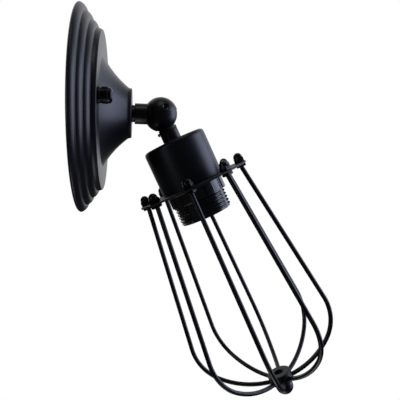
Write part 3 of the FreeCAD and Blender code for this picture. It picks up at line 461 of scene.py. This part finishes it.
def bake(piece: Piece, modifier: bpy.types.Modifier) -> bpy.types.Mesh:
    """Turn what a modifier makes of a piece into the piece's plain mesh, and return that mesh."""
    graph = bpy.context.evaluated_depsgraph_get()
    graph.update()
    mesh = bpy.data.meshes.new_from_object(piece.evaluated_get(graph), preserve_all_data_layers=True,
                                           depsgraph=graph)
    piece.modifiers.remove(modifier)
    piece.data = mesh
    return mesh


class CopyRing:
    """Geometry Nodes that repeat a piece round its axis, with an optional wire drawn along it first."""

    def __init__(self, name: str, along_wire: bool = False) -> None:
        """Build the tree.

        Args:
            name: The tree's name.
            along_wire: Whether the piece is a path that is first given a round section.
        """
        self.tree = bpy.data.node_groups.new(name, "GeometryNodeTree")
        self.graph = Graph(self.tree)
        self.names: dict[str, str] = {}
        for label, kind in (("Geometry", "Geometry"), ("Count", "Int"), ("First turn", "Float"),
                            ("Wire radius", "Float"), ("Finish", "Material")):
            socket = self.tree.interface.new_socket(name=label, in_out="INPUT", socket_type="NodeSocket" + kind)
            self.names[label] = socket.identifier
        self.tree.interface.new_socket(name="Geometry", in_out="OUTPUT", socket_type="NodeSocketGeometry")
        self.build(along_wire)

    def build(self, along_wire: bool) -> None:
        """Add the nodes."""
        graph = self.graph
        given = graph.node("NodeGroupInput").outputs
        single = self.wire(given) if along_wire else given["Geometry"]
        count = Value(graph, given["Count"])
        spots = graph.node("GeometryNodePoints", {"Count": given["Count"]})
        index = graph.value("GeometryNodeInputIndex")
        turn = index * (2 * pi) / count + Value(graph, given["First turn"])
        euler = graph.node("ShaderNodeCombineXYZ", {2: turn})
        rotation = graph.node("FunctionNodeEulerToRotation", {0: euler.outputs[0]})
        copies = graph.node("GeometryNodeInstanceOnPoints", {
            "Points": spots.outputs[0], "Instance": single, "Rotation": rotation.outputs[0]})
        solid = graph.node("GeometryNodeRealizeInstances", {0: copies.outputs[0]})
        dressed = graph.node("GeometryNodeSetMaterial",
                             {"Geometry": solid.outputs[0], "Material": given["Finish"]})
        graph.node("NodeGroupOutput", {0: dressed.outputs[0]})

    def wire(self, given: bpy.types.NodeOutputs) -> Socket:
        """Give a path a round section."""
        graph = self.graph
        path = graph.node("GeometryNodeMeshToCurve", {"Mesh": given["Geometry"]})
        section = graph.node("GeometryNodeCurvePrimitiveCircle",
                             {"Resolution": 28, "Radius": given["Wire radius"]}, {"mode": "RADIUS"})
        tube = graph.node("GeometryNodeCurveToMesh", {
            "Curve": path.outputs[0], "Profile Curve": section.outputs[0], "Fill Caps": True})
        return tube.outputs[0]

    def apply(self, piece: Piece, place: Matrix, count: int, first_turn: float, finish: Finish,
              wire_radius_mm: float = 0.0) -> None:
        """Repeat a piece and turn the result into its plain mesh.

        Args:
            piece: The object to repeat, drawn on its own Z axis.
            place: Where the axis stands.
            count: The number of copies.
            first_turn: The first copy's angle, in degrees.
            finish: The copies' finish.
            wire_radius_mm: The section's radius where the piece is a path.
        """
        modifier = piece.modifiers.new("ring", "NODES")
        modifier.node_group = self.tree
        modifier[self.names["Count"]] = count
        modifier[self.names["First turn"]] = radians(first_turn)
        modifier[self.names["Wire radius"]] = wire_radius_mm * MM
        modifier[self.names["Finish"]] = finish.material()
        settle(bake(piece, modifier), place)


def drill(piece: Piece, radius: float, low: float, high: float, place: Matrix, steps: int) -> None:
    """Cut a round hole through a piece.

    Args:
        piece: The object to drill.
        radius: The hole's radius, in millimetres.
        low: The station where the drill starts.
        high: The station where it ends.
        place: Where the hole's axis stands.
        steps: The number of points round the hole.
    """
    tool = turned("drill", Outline().to(0, low).to(radius, low).to(radius, high).to(0, high), place, steps)
    modifier = piece.modifiers.new("cut", "BOOLEAN")
    modifier.operation = "DIFFERENCE"
    modifier.solver = "EXACT"
    modifier.object = tool
    shade(bake(piece, modifier))
    bpy.data.objects.remove(tool)


# -------------------- shapes that change a turned radius


@dataclass(frozen=True)
class Hexagon:
    """Six flats, cut down by whatever the outline allows."""

    flats: float

    def __call__(self, radius: Grid, station: Grid, angle: Grid) -> Grid:
        """Cut the turned radius down to the hexagon."""
        side = (angle + pi / 6) % (pi / 3) - pi / 6
        return np.minimum(radius, self.flats / 2 / np.cos(side))


@dataclass(frozen=True)
class HolderThread:
    """A rounded outside thread with four smooth channels down it."""

    crest: float = 19.8
    depth: float = 0.9
    pitch: float = 2.5
    start: float = 58.0
    channel_half: float = radians(12.2)
    channel_reach: float = 18.32
    first_channel: float = 116.0
    end: float = 79.7
    runout: float = 1.2
    squareness: float = 1.35
    wall: float = 0.7

    def __call__(self, radius: Grid, station: Grid, angle: Grid) -> Grid:
        """Shape the sleeve's outer wall and leave its bore round."""
        phase = ((station - self.start) / self.pitch + angle / (2 * pi)) % 1.0
        ridge = np.clip(self.squareness * np.cos((phase - 0.5) * 2 * pi) * 0.5 + 0.5, 0.0, 1.0)
        lead_in = np.clip((station - self.start) / self.pitch, 0, 1)
        runout = lead_in * np.clip((self.end - station) / self.runout, 0, 1)
        threaded = self.crest - self.depth * (1 - ridge * runout)
        off = (angle - radians(self.first_channel) + pi / 4) % (pi / 2) - pi / 4
        flat = self.channel_reach / np.cos(off)
        wall = np.where(np.abs(off) < self.channel_half, np.minimum(threaded, flat), threaded)
        return np.where(radius > self.crest - self.depth - self.wall, np.minimum(radius, wall), radius)


@dataclass(frozen=True)
class LampThread:
    """The rolled thread of a lamp's screw shell, in a wall of even thickness."""

    pitch: float = 3.62
    depth: float = 0.5
    start: float = 57.6
    end: float = 76.3
    fade: float = 1.5

    def __call__(self, radius: Grid, station: Grid, angle: Grid) -> Grid:
        """Wave both faces of the shell alike."""
        phase = station / self.pitch - angle / (2 * pi)
        wave = (np.cos(phase * 2 * pi) * 0.5 + 0.5) * self.depth
        fade = (np.clip((self.end - station) / self.fade, 0, 1)
                * np.clip((station - self.start) / self.fade, 0, 1))
        return radius - wave * fade


# -------------------- sub-assemblies


@dataclass
class Canopy:
    """The stepped round dish on the wall, with its boss and cap nuts."""

    radius: float = 71.5
    wall: float = 1.0
    rim_rise: float = 1.6
    rim_curl: float = 1.5
    roll_rise: float = 3.8
    roll_step: float = 5.2
    roll_bulge: float = 1.0
    riser_lean: float = 0.6
    riser_top: float = 0.9
    ring_height: float = 16.2
    ring_edge: float = 55.0
    foot: float = 38.0
    flare_bulge: float = 1.36
    boss: float = 17.2
    collar: float = 2.3
    collar_draft: float = 0.5
    inner_collar: float = 2.8
    stud_hole: float = 2.3
    nut_circle: float = 46.2
    nut_turn: float = 5.6
    nut_radius: float = 5.2
    nut_height: float = 9.0
    knurl_end: float = 6.7
    knurl_count: int = 36
    knurl_half: float = radians(3.2)

    def build(self) -> None:
        """Make the dish and the cap nuts."""
        self.build_dish()
        self.build_cap_nuts()

    def steps(self) -> list[tuple[float, float]]:
        """The grooves between the rolls, from the rim inwards."""
        return [(self.radius - self.roll_step * k, self.rim_rise + self.roll_rise * k) for k in range(4)]

    def build_dish(self) -> None:
        """The dish's wall, up the outside and down the inside."""
        rim, wall, grooves = self.radius - self.rim_curl, self.wall, self.steps()
        ring, flare = self.ring_height, self.boss + self.collar_draft
        line = Outline().to(rim, 0.0).arc(*grooves[0], self.rim_curl / 4, 6)
        for groove in grooves[1:]:
            line.arc(*groove, self.roll_bulge, 20)
        line.arc(grooves[3][0] - self.riser_lean, ring - self.riser_top, 0.15, 6)
        line.to(self.ring_edge, ring, 0.7).to(self.foot, ring, 0.5)
        line.arc(flare, BOSS_FACE - self.collar, -self.flare_bulge, 30).to(self.boss, BOSS_FACE, 0.8)
        line.to(NIPPLE_HOLE, BOSS_FACE).to(NIPPLE_HOLE, BOSS_FACE - wall)
        line.to(self.boss - wall, BOSS_FACE - wall, 0.5).to(flare - wall, BOSS_FACE - self.inner_collar)
        line.arc(self.foot - wall / 2, ring - wall, self.flare_bulge, 30)
        line.to(self.ring_edge - wall / 2, ring - wall, 0.3)
        slope = hypot(self.roll_rise, self.roll_step)
        inward, down = wall * self.roll_rise / slope, wall * self.roll_step / slope
        line.to(grooves[3][0] - inward, grooves[3][1] - down)
        for radius, height in grooves[2::-1]:
            line.arc(radius - inward, height - down, -self.roll_bulge, 20)
        line.to(rim - wall, 0.0)
        dish = turned("canopy_dish", line, WALL_AXIS, 256)
        for side in (-1, 1):
            drill(dish, self.stud_hole, 0, 30, self.nut_place(side, 0.0), 32)
        finished(dish, Body.WALL, CANOPY_BLACK, "canopy")

    def nut_place(self, side: int, station: float) -> Matrix:
        """Where a cap nut stands."""
        turn, reach = radians(self.nut_turn), side * self.nut_circle
        spot = Vector((reach * sin(turn), reach * cos(turn), station))
        return WALL_AXIS @ Matrix.Translation(spot * MM)

    def build_cap_nuts(self) -> None:
        """Two domed cap nuts: a plain foot, a groove, a knurled body and a domed end."""
        radius, height, end = self.nut_radius, self.nut_height, self.knurl_end
        groove, body, root = radius - 0.5, radius - 0.22, radius - 0.3
        line = Outline().to(0, 0).to(radius, 0, 0.25).to(radius, 1.7, 0.3).to(groove, 1.9).to(groove, 2.3)
        line.to(body, 2.5, 0.1).to(body, end, 0.1).to(radius - 0.25, 7.0)
        line.arc(1.4, height - 0.05, 1.2, 12).to(0, height)
        tooth = Outline().to(root, 2.6).to(radius, 2.9).to(radius, 6.4).to(root, end)
        knurl = CopyRing("knurl_ring")
        for side, name in ((-1, "near"), (1, "far")):
            place = self.nut_place(side, self.ring_height)
            finished(turned("cap_nut_" + name, line, place, 96), Body.WALL, NUT_BLACK)
            ridge = self.ridge("cap_nut_ridges_" + name, tooth)
            knurl.apply(ridge, place, self.knurl_count, 0.0, NUT_BLACK)
            finished(ridge, Body.WALL, NUT_BLACK)
        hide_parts("canopy_cap_nuts")

    def ridge(self, name: str, outline: Outline) -> Piece:
        """One knurl ridge: a rounded wedge on the nut's side."""
        points, half, base = outline.points(), self.knurl_half, self.nut_radius - 0.35
        verts, faces = [], []
        for radius, station in points:
            for angle, reach in ((-half, base), (-half * 0.35, radius), (half * 0.35, radius), (half, base)):
                verts.append(polar(reach, angle, station))
        for row in range(len(points) - 1):
            for col in range(3):
                a = row * 4 + col
                faces.append((a, a + 1, a + 5, a + 4))
            faces.append((row * 4 + 3, row * 4, row * 4 + 4, row * 4 + 7))
        last = (len(points) - 1) * 4
        faces += [(3, 2, 1, 0), (last, last + 1, last + 2, last + 3)]
        return drawn(name, verts, faces=faces)


@dataclass
class SwivelJoint:
    """The neck, ball and washers between the canopy and the cup."""

    nodes: dict[str, Piece]
    neck: float = 7.3
    washer: float = 6.0
    washer_height: float = 2.0
    start: float = 38.5
    shoulder: float = 47.3
    plug: float = 6.5
    end: float = 49.3
    bore: float = 5.1
    bore_end: float = 44.6

    def build(self) -> None:
        """Make the washer, neck and ball."""
        low, high, bore = BOSS_FACE, BOSS_FACE + self.washer_height, self.bore
        washer = Outline().to(NIPPLE_HOLE, low).to(self.washer, low, 0.25).to(self.washer, high, 0.25)
        washer.to(NIPPLE_HOLE, high)
        finished(turned("boss_washer", washer, WALL_AXIS), Body.WALL, SATIN_BLACK, "neck_washer")
        line = Outline().to(bore, self.start).to(self.neck, self.start, 0.5).to(self.neck, self.shoulder, 0.1)
        line.to(self.plug, self.shoulder).to(self.plug, self.end).to(LEAD_WAY, self.end)
        line.to(LEAD_WAY, self.bore_end).to(bore, self.bore_end)
        finished(turned("neck", line, WALL_AXIS), Body.SWIVEL, SATIN_BLACK, "swivel_neck")
        for name, node, finish in (("ball", "ball_shell", SATIN_BLACK),
                                   ("ball_screw", "ball_grub_screw", DARK_STEEL)):
            finished(smoothed_copy(name, self.nodes[node]), Body.SWIVEL, finish, node)


@dataclass
class CupAndStem:
    """The dished washer, the stem and the cup."""

    cup: float = 23.3
    top: float = 20.7
    bottom: float = 54.9
    wall: float = 0.8
    stem: float = 6.8
    stem_top: float = 13.0
    seat: float = 12.6
    bore: float = 4.05
    tab_low: float = 11.9
    tab_high: float = 14.0
    tab_reach: float = 8.2
    tab_half: float = 1.2
    gap: float = 0.1
    shank: float = 4.0
    shank_end: float = 1.625
    spigot: float = 5.0
    spigot_end: float = 31.0
    hole: float = 5.05

    def on_ball(self, radius: float) -> float:
        """The station where the washer's seat has a radius."""
        return sqrt(self.seat ** 2 - radius ** 2)

    def build_dished_washer(self) -> None:
        """The washer that rides on the ball, with one tab bent down over the stem."""
        back = self.stem_top - self.gap
        dish = Outline().to(self.bore, self.on_ball(self.bore)).arc(self.stem, self.on_ball(self.stem), -0.17, 10)
        dish.to(self.stem, back, 0.3).to(self.bore, back)
        finished(turned("ball_washer", dish, HEAD_AXIS), Body.HEAD, WASHER_BLACK, "stem_collar")
        root, inner, reach = self.stem - 0.6, self.stem + self.gap, self.tab_reach
        low, high = self.tab_low, self.tab_high
        side = [(root, low), (reach, low), (reach, high), (inner, high), (inner, back), (root, back)]
        work = bmesh.new()
        face = work.faces.new([work.verts.new((x * MM, -self.tab_half * MM, z * MM)) for x, z in side])
        grown = bmesh.ops.extrude_face_region(work, geom=[face])["geom"]
        moved = [part for part in grown if isinstance(part, bmesh.types.BMVert)]
        bmesh.ops.translate(work, verts=moved, vec=(0, 2 * self.tab_half * MM, 0))
        bmesh.ops.bevel(work, geom=work.edges[:], offset=0.22 * MM, segments=3, affect="EDGES", profile=0.5)
        mesh = bpy.data.meshes.new("washer_tab")
        work.to_mesh(mesh)
        work.free()
        settle(mesh, HEAD_AXIS)
        finished(new_object("washer_tab", mesh), Body.HEAD, WASHER_BLACK)

    def build(self) -> None:
        """Make the turned pieces and the washer's tab."""
        self.build_dished_washer()
        top, end = self.stem_top, self.spigot_end
        stem = Outline().to(LEAD_WAY, self.shank_end).to(self.shank, self.shank_end).to(self.shank, top)
        stem.to(self.stem, top, 0.35).to(self.stem, self.top).to(self.spigot, self.top)
        stem.to(self.spigot, end, 0.3).to(LEAD_WAY, end)
        finished(turned("stem_tube", stem, HEAD_AXIS), Body.HEAD, SATIN_BLACK, "stem")
        inner, under = self.cup - self.wall, self.top + self.wall
        cup = Outline().to(self.hole, self.top).to(self.cup, self.top, 3.2).to(self.cup, self.bottom, 0.25)
        cup.to(inner, self.bottom, 0.25).to(inner, under, 2.4).to(self.hole, under)
        finished(turned("cup", cup, HEAD_AXIS, 192, steps_round=12), Body.HEAD, SATIN_BLACK, "lamp_cup")


@dataclass
class Lampholder:
    """The threaded holder under the plate, its screw shell and the shade ring."""

    top: float = 38.8
    shoulder: float = 42.8
    floor: float = 47.5
    flange: float = 52.0
    end: float = 80.1
    tip: float = 0.5
    core: float = 11.5
    bore: float = 14.8
    row_height: float = 0.22
    shell_outer: float = 13.7
    shell_inner: float = 13.3
    shell_top: float = 57.5
    shell_length: float = 18.8
    ring_bore: float = 19.9
    ring_collar: float = 20.95
    ring_flange: float = 23.6
    ring_height: float = 9.8
    rib_count: int = 8
    first_rib: float = 68.0

    def build(self) -> None:
        """Make the sleeve, the screw shell and the ring."""
        self.build_sleeve()
        self.build_shell()
        self.build_ring()

    def build_sleeve(self) -> None:
        """The lower half of the holder, with its outside thread and channels."""
        crest, end = HolderThread.crest, self.end - self.tip
        line = Outline().to(self.core, self.top).to(15.25, self.top).to(15.25, self.shoulder)
        line.to(18.0, self.shoulder, 0.4).to(18.0, self.flange).to(22.2, self.flange, 0.3)
        line.to(22.2, PLATE_TOP).to(crest, PLATE_TOP)
        rows = int((end - PLATE_TOP) / self.row_height)
        for row in range(1, rows + 1):
            line.to(crest, PLATE_TOP + row * (end - PLATE_TOP) / rows)
        line.to(18.9, self.end, 0.3).to(self.bore, self.end, 0.4).to(self.bore, self.floor).to(self.core, self.floor)
        sleeve = turned("holder_sleeve", line, HEAD_AXIS, 300, HolderThread())
        finished(sleeve, Body.HEAD, MOULDED_BLACK, "lampholder_body")

    def build_shell(self) -> None:
        """The rolled brass shell that takes the lamp's cap."""
        line, length, rows = Outline(), self.shell_length, 60
        for radius, first, run in ((self.shell_outer, self.shell_top, length),
                                   (self.shell_inner, LampThread.end, -length)):
            for row in range(rows + 1):
                line.to(radius, first + row * run / rows)
        finished(turned("lamp_shell", line, HEAD_AXIS, 96, LampThread()), Body.HEAD, BRASS, "screw_shell")

    def build_ring(self) -> None:
        """The shade ring: a flanged collar with eight broad ribs."""
        low, flange, end = PLATE_LOW, PLATE_LOW + 1.5, PLATE_LOW + self.ring_height
        bore, collar, wide = self.ring_bore, self.ring_collar, self.ring_flange
        line = Outline().to(bore, low).to(wide, low, 0.2).to(wide, flange, 0.4).to(collar, flange, 0.3)
        line.to(collar, end, 0.35).to(bore, end, 0.2)
        finished(turned("ring_collar", line, HEAD_AXIS, 160), Body.HEAD, MOULDED_BLACK, "shade_ring")
        rib = self.rib()
        CopyRing("rib_ring").apply(rib, HEAD_AXIS, self.rib_count, self.first_rib, MOULDED_BLACK)
        finished(rib, Body.HEAD, MOULDED_BLACK)

    def rib(self) -> Piece:
        """One rib: a curved block with rounded edges."""
        half, edge = radians(9.5), radians(1.4)
        low, end = PLATE_LOW + 1.4, PLATE_LOW + self.ring_height
        angles = [-half, -half + edge * 0.3, -half + edge, *np.linspace(-half + 2 * edge, half - 2 * edge, 7),
                  half - edge, half - edge * 0.3, half]
        reach = [20.9, 21.4, *[21.6] * 9, 21.4, 20.9]
        levels = [(low, 0.0), (end - 0.5, 0.0), (end - 0.2, 0.15), (end - 0.05, 0.4)]
        verts = [polar(r - drop, a, z) for z, drop in levels for a, r in zip(angles, reach)]
        verts += [polar(20.5, a, z) for z in (low, end - 0.05) for a in angles]
        wide, rows = len(angles), len(levels)
        faces = [(i * wide + j, i * wide + j + 1, (i + 1) * wide + j + 1, (i + 1) * wide + j)
                 for i in range(rows - 1) for j in range(wide - 1)]
        back, top = rows * wide, (rows + 1) * wide
        faces += [(back + j + 1, back + j, top + j, top + j + 1) for j in range(wide - 1)]
        faces += [(j + 1, j, back + j, back + j + 1) for j in range(wide - 1)]
        last = (rows - 1) * wide
        faces += [(last + j, last + j + 1, top + j + 1, top + j) for j in range(wide - 1)]
        for j in (0, wide - 1):
            faces.append(tuple([i * wide + j for i in range(rows)] + [top + j, back + j]))
        return drawn("ring_ribs", verts, faces=faces)


@dataclass
class Cage:
    """The plate, the eight wires with their nuts, the hub and the finial."""

    plate_radius: float = 41.9
    plate_bore: float = 20.1
    wire_count: int = 8
    wire_radius: float = 1.7
    wire_hole: float = 1.75
    wire_top: float = 4.4
    wire_circle: float = 37.6
    first_turn: float = 9.9
    nut_flats: float = 7.0
    thin_nut: float = 2.2
    dome_bulge: float = 0.937
    kink: float = 10.0
    flare: float = radians(8.4)
    run: float = 113.8
    belly: float = 36.0
    change: float = radians(45.0)
    entry: float = radians(79.0)
    entry_run: float = 6.0
    wire_end: float = 7.3
    hub_radius: float = 9.3
    hub_height: float = 8.0
    entry_drop: float = 5.8
    recess: float = 3.6
    recess_depth: float = 4.0
    finial: float = 6.7
    finial_drop: float = 4.2

    def build(self) -> None:
        """Make the cage from the plate to the finial."""
        self.build_plate()
        self.build_wires()
        self.build_nuts()
        self.build_hub()

    def build_plate(self) -> None:
        """The flat ring, with a hole for each wire."""
        bore, edge, low, high = self.plate_bore, self.plate_radius, PLATE_TOP, PLATE_LOW
        line = Outline().to(bore, low, 0.15).to(edge, low, 0.3).to(edge, high, 0.3).to(bore, high, 0.15)
        plate = turned("plate", line, HEAD_AXIS, 224)
        for index in range(self.wire_count):
            turn = Matrix.Rotation(radians(self.first_turn + 360 / self.wire_count * index), 4, "Z")
            drill(plate, self.wire_hole, low - 2, high + 2, HEAD_AXIS @ turn @ self.outwards(), 24)
        finished(plate, Body.HEAD, MATT_BLACK, "cage_plate")

    def outwards(self) -> Matrix:
        """The move from the axis to the wires' circle."""
        return Matrix.Translation((self.wire_circle * MM, 0, 0))

    def path(self) -> list[tuple[float, float]]:
        """A wire's centre line, as (radius, station) points."""
        flare, change, entry, kink, belly = self.flare, self.change, self.entry, self.kink, self.belly
        start = PLATE_LOW + self.thin_nut
        belly_r = self.wire_circle + kink * (1 - cos(flare)) + self.run * sin(flare)
        belly_s = start + kink * sin(flare) + self.run * cos(flare)
        change_r = belly_r - belly * (cos(flare) - cos(change))
        change_s = belly_s + belly * (sin(flare) + sin(change))
        entry_r = self.wire_end + self.entry_run * sin(entry)
        base = (change_r - entry_r) / (cos(change) - cos(entry))
        points = [(self.wire_circle, PLATE_TOP - self.wire_top)]
        points += self.bend((self.wire_circle + kink, start), kink, pi, pi - flare, 6)
        centre = (belly_r - belly * cos(flare), belly_s + belly * sin(flare))
        points += self.bend(centre, belly, -flare, change, 30)
        centre = (change_r - base * cos(change), change_s - base * sin(change))
        points += self.bend(centre, base, change, entry, 30)
        points.append((self.wire_end, points[-1][1] + self.entry_run * cos(entry)))
        return points

    @staticmethod
    def bend(centre: tuple[float, float], radius: float, first: float, last: float,
             steps: int) -> list[tuple[float, float]]:
        """Points of an arc from one angle to another."""
        return [(centre[0] + radius * cos(first + (last - first) * k / steps),
                 centre[1] + radius * sin(first + (last - first) * k / steps)) for k in range(steps + 1)]

    def build_wires(self) -> None:
        """All eight wires, from one path that is drawn round and repeated."""
        path = [polar(radius, 0.0, station) for radius, station in self.path()]
        wires = drawn("wires", path, [(i, i + 1) for i in range(len(path) - 1)])
        CopyRing("cage_wires", along_wire=True).apply(
            wires, HEAD_AXIS, self.wire_count, self.first_turn, WIRE_BLACK, self.wire_radius)
        finished(wires, Body.HEAD, WIRE_BLACK,
                 *("cage_wire_%d" % number for number in range(1, self.wire_count + 1)))

    def build_nuts(self) -> None:
        """Acorn nuts above the plate and thin nuts below it."""
        ring = CopyRing("nut_ring")
        half, low, top, hole, height = self.nut_flats / 2, PLATE_LOW, PLATE_TOP, self.wire_hole, self.thin_nut
        edge, corner = half - 0.05, half + 0.55
        dome = Outline().to(0, top).to(edge, top).to(corner, top - 0.4).to(corner, top - 3.1)
        dome.to(half - 0.15, top - 3.55).to(3.2, top - 4.0).arc(0.0, top - 7.2, -self.dome_bulge)
        thin = Outline().to(hole, low).to(edge, low).to(corner, low + 0.35).to(corner, low + 1.85)
        thin.to(edge, low + height).to(hole, low + height)
        for name, outline, node in (("domed_nuts", dome, "acorn_nuts"), ("thin_nuts", thin, "under_nuts")):
            nut = turned(name, outline, Matrix.Identity(4), 48, Hexagon(self.nut_flats))
            nut.data.transform(self.outwards())
            ring.apply(nut, HEAD_AXIS, self.wire_count, self.first_turn, NUT_BLACK)
            finished(nut, Body.HEAD, NUT_BLACK, node)

    def build_hub(self) -> None:
        """The turned hub that takes the wires' ends, and the ball finial under it."""
        top = self.path()[-1][1] - self.entry_drop
        low, radius, floor = top + self.hub_height, self.hub_radius, top + self.recess_depth
        hub = Outline().to(0, floor).to(self.recess, floor).to(self.recess, top, 0.3).to(radius, top, 0.9)
        hub.to(radius, low, 0.9).to(0, low)
        finished(turned("hub", hub, HEAD_AXIS, steps_round=7), Body.HEAD, MATT_BLACK, "cage_hub")
        ball, centre = self.finial, low + self.finial_drop
        neck = sqrt(ball ** 2 - self.finial_drop ** 2)
        line = Outline().to(0, floor).to(2.0, floor).to(2.0, low).to(neck, low)
        line.arc(ball, centre, 0.74).arc(0.0, centre + ball, ball * (1 - sqrt(0.5)), 28)
        finished(turned("ball_finial", line, HEAD_AXIS), Body.HEAD, SATIN_BLACK, "finial")


@dataclass
class HiddenFittings:
    """The frame's own nodes that stay, each with its finish."""

    nodes: dict[str, Piece]
    names: dict[Finish, tuple[str, ...]] = field(default_factory=lambda: {
        ZINC: ("mounting_strap", "strap_studs", "stud_lock_nuts", "block_fixing_screw", "earth_washer",
               "boss_stiffener", "nipple", "stop_washer", "nipple_lock_nut", "rotor_ball", "stem_washer",
               "stem_nut"),
        BRASS: ("terminal_screws", "earth_screw", "centre_contact", "contact_screws"),
        DARK_STEEL: ("spring_washer", "friction_spring"),
        WHITE_MOULDING: ("terminal_block",),
        NYLON: ("friction_seat",),
        MOULDED_BLACK: ("lampholder_cap",),
        CERAMIC: ("contact_block",)})

    def dress(self) -> None:
        """Give each node its material."""
        for finish, names in self.names.items():
            for name in names:
                mesh = self.nodes[name].data
                mesh.materials.clear()
                mesh.materials.append(finish.material())
                LOG.info("%s keeps its shape and gets %s", name, finish.name)


# -------------------- studio


@dataclass(frozen=True)
class PhotoCamera:
    """A camera at the photograph's place, which is in millimetres, and with its angle and framing."""

    place: tuple[float, float, float] = (46.72, -360.22, -47.64)
    yaw: float = 0.0644
    pitch: float = -0.1088
    roll: float = 0.0289
    focal_px: float = 489.13
    image_px: float = 400.0
    axis_px: tuple[float, float] = (175.0, 235.0)

    def build(self) -> None:
        """Add the camera and make it the scene's."""
        ahead = Vector((sin(self.yaw) * cos(self.pitch), cos(self.yaw) * cos(self.pitch),
                        sin(self.pitch)))
        level = Vector((cos(self.yaw), -sin(self.yaw), 0.0))
        upward = level.cross(ahead)
        right = level * cos(self.roll) + upward * sin(self.roll)
        up = upward * cos(self.roll) - level * sin(self.roll)
        data = bpy.data.cameras.new("photo_camera")
        data.sensor_width = 36.0
        data.lens = self.focal_px / self.image_px * data.sensor_width
        data.shift_x = 0.5 - self.axis_px[0] / self.image_px
        data.shift_y = self.axis_px[1] / self.image_px - 0.5
        data.clip_start = 0.01
        camera = new_object("photo_camera", data)
        turn = Matrix((right, up, -ahead)).transposed().to_4x4()
        camera.matrix_world = Matrix.Translation(Vector(self.place) * MM) @ turn
        bpy.context.scene.camera = camera


@dataclass(frozen=True)
class SoftLight:
    """A rectangular soft light that looks at the object, with its lengths in metres."""

    name: str
    place: tuple[float, float, float]
    size: tuple[float, float]
    power: float
    colour: tuple[float, float, float]
    target: tuple[float, float, float] = (0.07, 0.0, -0.07)

    def build(self) -> None:
        """Add the light."""
        data = bpy.data.lights.new(self.name, "AREA")
        data.shape = "RECTANGLE"
        data.size, data.size_y = self.size
        data.energy = self.power
        data.color = self.colour
        light = new_object(self.name, data)
        light.location = self.place
        light.rotation_mode = "QUATERNION"
        light.rotation_quaternion = (Vector(self.target) - Vector(self.place)).to_track_quat("-Z", "Y")


@dataclass(frozen=True)
class Studio:
    """A pale room: a white surround, a plain floor and soft lights."""

    lights: tuple[SoftLight, ...] = (
        SoftLight("right_softbox", (0.95, 0.02, 0.10), (0.62, 0.90), 4.9, (0.66, 0.71, 1.0)),
        SoftLight("top_softbox", (0.10, -0.35, 1.0), (0.6, 0.4), 0.9, (1.0, 1.0, 1.0)),
        SoftLight("left_fill", (-0.9, -0.7, 0.05), (0.5, 0.8), 1.6, (0.78, 0.84, 1.0)),
    )
    floor_drop: float = -1.6
    floor_radius: float = 0.6
    floor_corners: int = 64

    def build(self) -> None:
        """Add the surround, the floor and the lights."""
        bpy.context.scene.view_settings.view_transform = "Standard"
        self.build_surround()
        self.build_floor()
        for light in self.lights:
            light.build()

    def build_surround(self) -> None:
        """White to look at. Reflections see it bright behind and at the right, and dim low down and in front."""
        world = bpy.data.worlds.new("pale_room")
        world.use_nodes = True
        graph = Graph(world.node_tree)
        seen = graph.value("ShaderNodeLightPath", output="Is Camera Ray")
        way = graph.node("ShaderNodeTexCoord").outputs["Generated"]
        parts = graph.node("ShaderNodeSeparateXYZ", {0: way})
        right, behind, upward = (Value(graph, parts.outputs[axis]) for axis in range(3))
        wall = behind.between(-0.05, 0.55).larger(right.between(0.45, 0.9) * behind.between(-0.45, 0.05))
        height = upward.between(-0.26, 0.02) * (1 - upward.between(0.45, 0.95) * 0.7)
        strength = seen + (1 - seen) * (0.03 + wall * height * 0.97)
        tint = graph.node("ShaderNodeMix", {
            0: right.between(0.1, 0.8) * (1 - seen), 6: (1, 1, 1, 1), 7: (0.74, 0.80, 1.0, 1)},
            {"data_type": "RGBA"})
        shader = graph.node("ShaderNodeBackground", {"Color": tint.outputs[2], "Strength": strength})
        graph.node("ShaderNodeOutputWorld", {"Surface": shader.outputs[0]})
        bpy.context.scene.world = world

    def build_floor(self) -> None:
        """A plain pale floor, well below the light."""
        ring = [(self.floor_radius * cos(a), self.floor_radius * sin(a), self.floor_drop)
                for a in np.linspace(0, 2 * pi, self.floor_corners, endpoint=False)]
        floor = drawn("floor", ring, faces=[tuple(range(self.floor_corners))])
        material = bpy.data.materials.new("pale_floor")
        material.use_nodes = True
        graph = Graph(material.node_tree)
        shader = graph.node("ShaderNodeBsdfPrincipled", {
            "Base Color": (0.92, 0.92, 0.92, 1), "Roughness": 0.9, "Emission Color": (1, 1, 1, 1),
            "Emission Strength": 0.95})
        graph.node("ShaderNodeOutputMaterial", {"Surface": shader.outputs[0]})
        floor.data.materials.append(material)


def main() -> None:
    """Load the frame, dress it, build its visible pieces, light it and place the camera."""
    logging.basicConfig(level=logging.INFO, format="%(message)s")
    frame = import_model()
    nodes = frame["nodes"]
    HiddenFittings(nodes).dress()
    for assembly in (Canopy(), SwivelJoint(nodes), CupAndStem(), Lampholder(), Cage()):
        LOG.info("building %s", type(assembly).__name__)
        assembly.build()
    Studio().build()
    PhotoCamera().build()


if __name__ == "__main__":
    main()
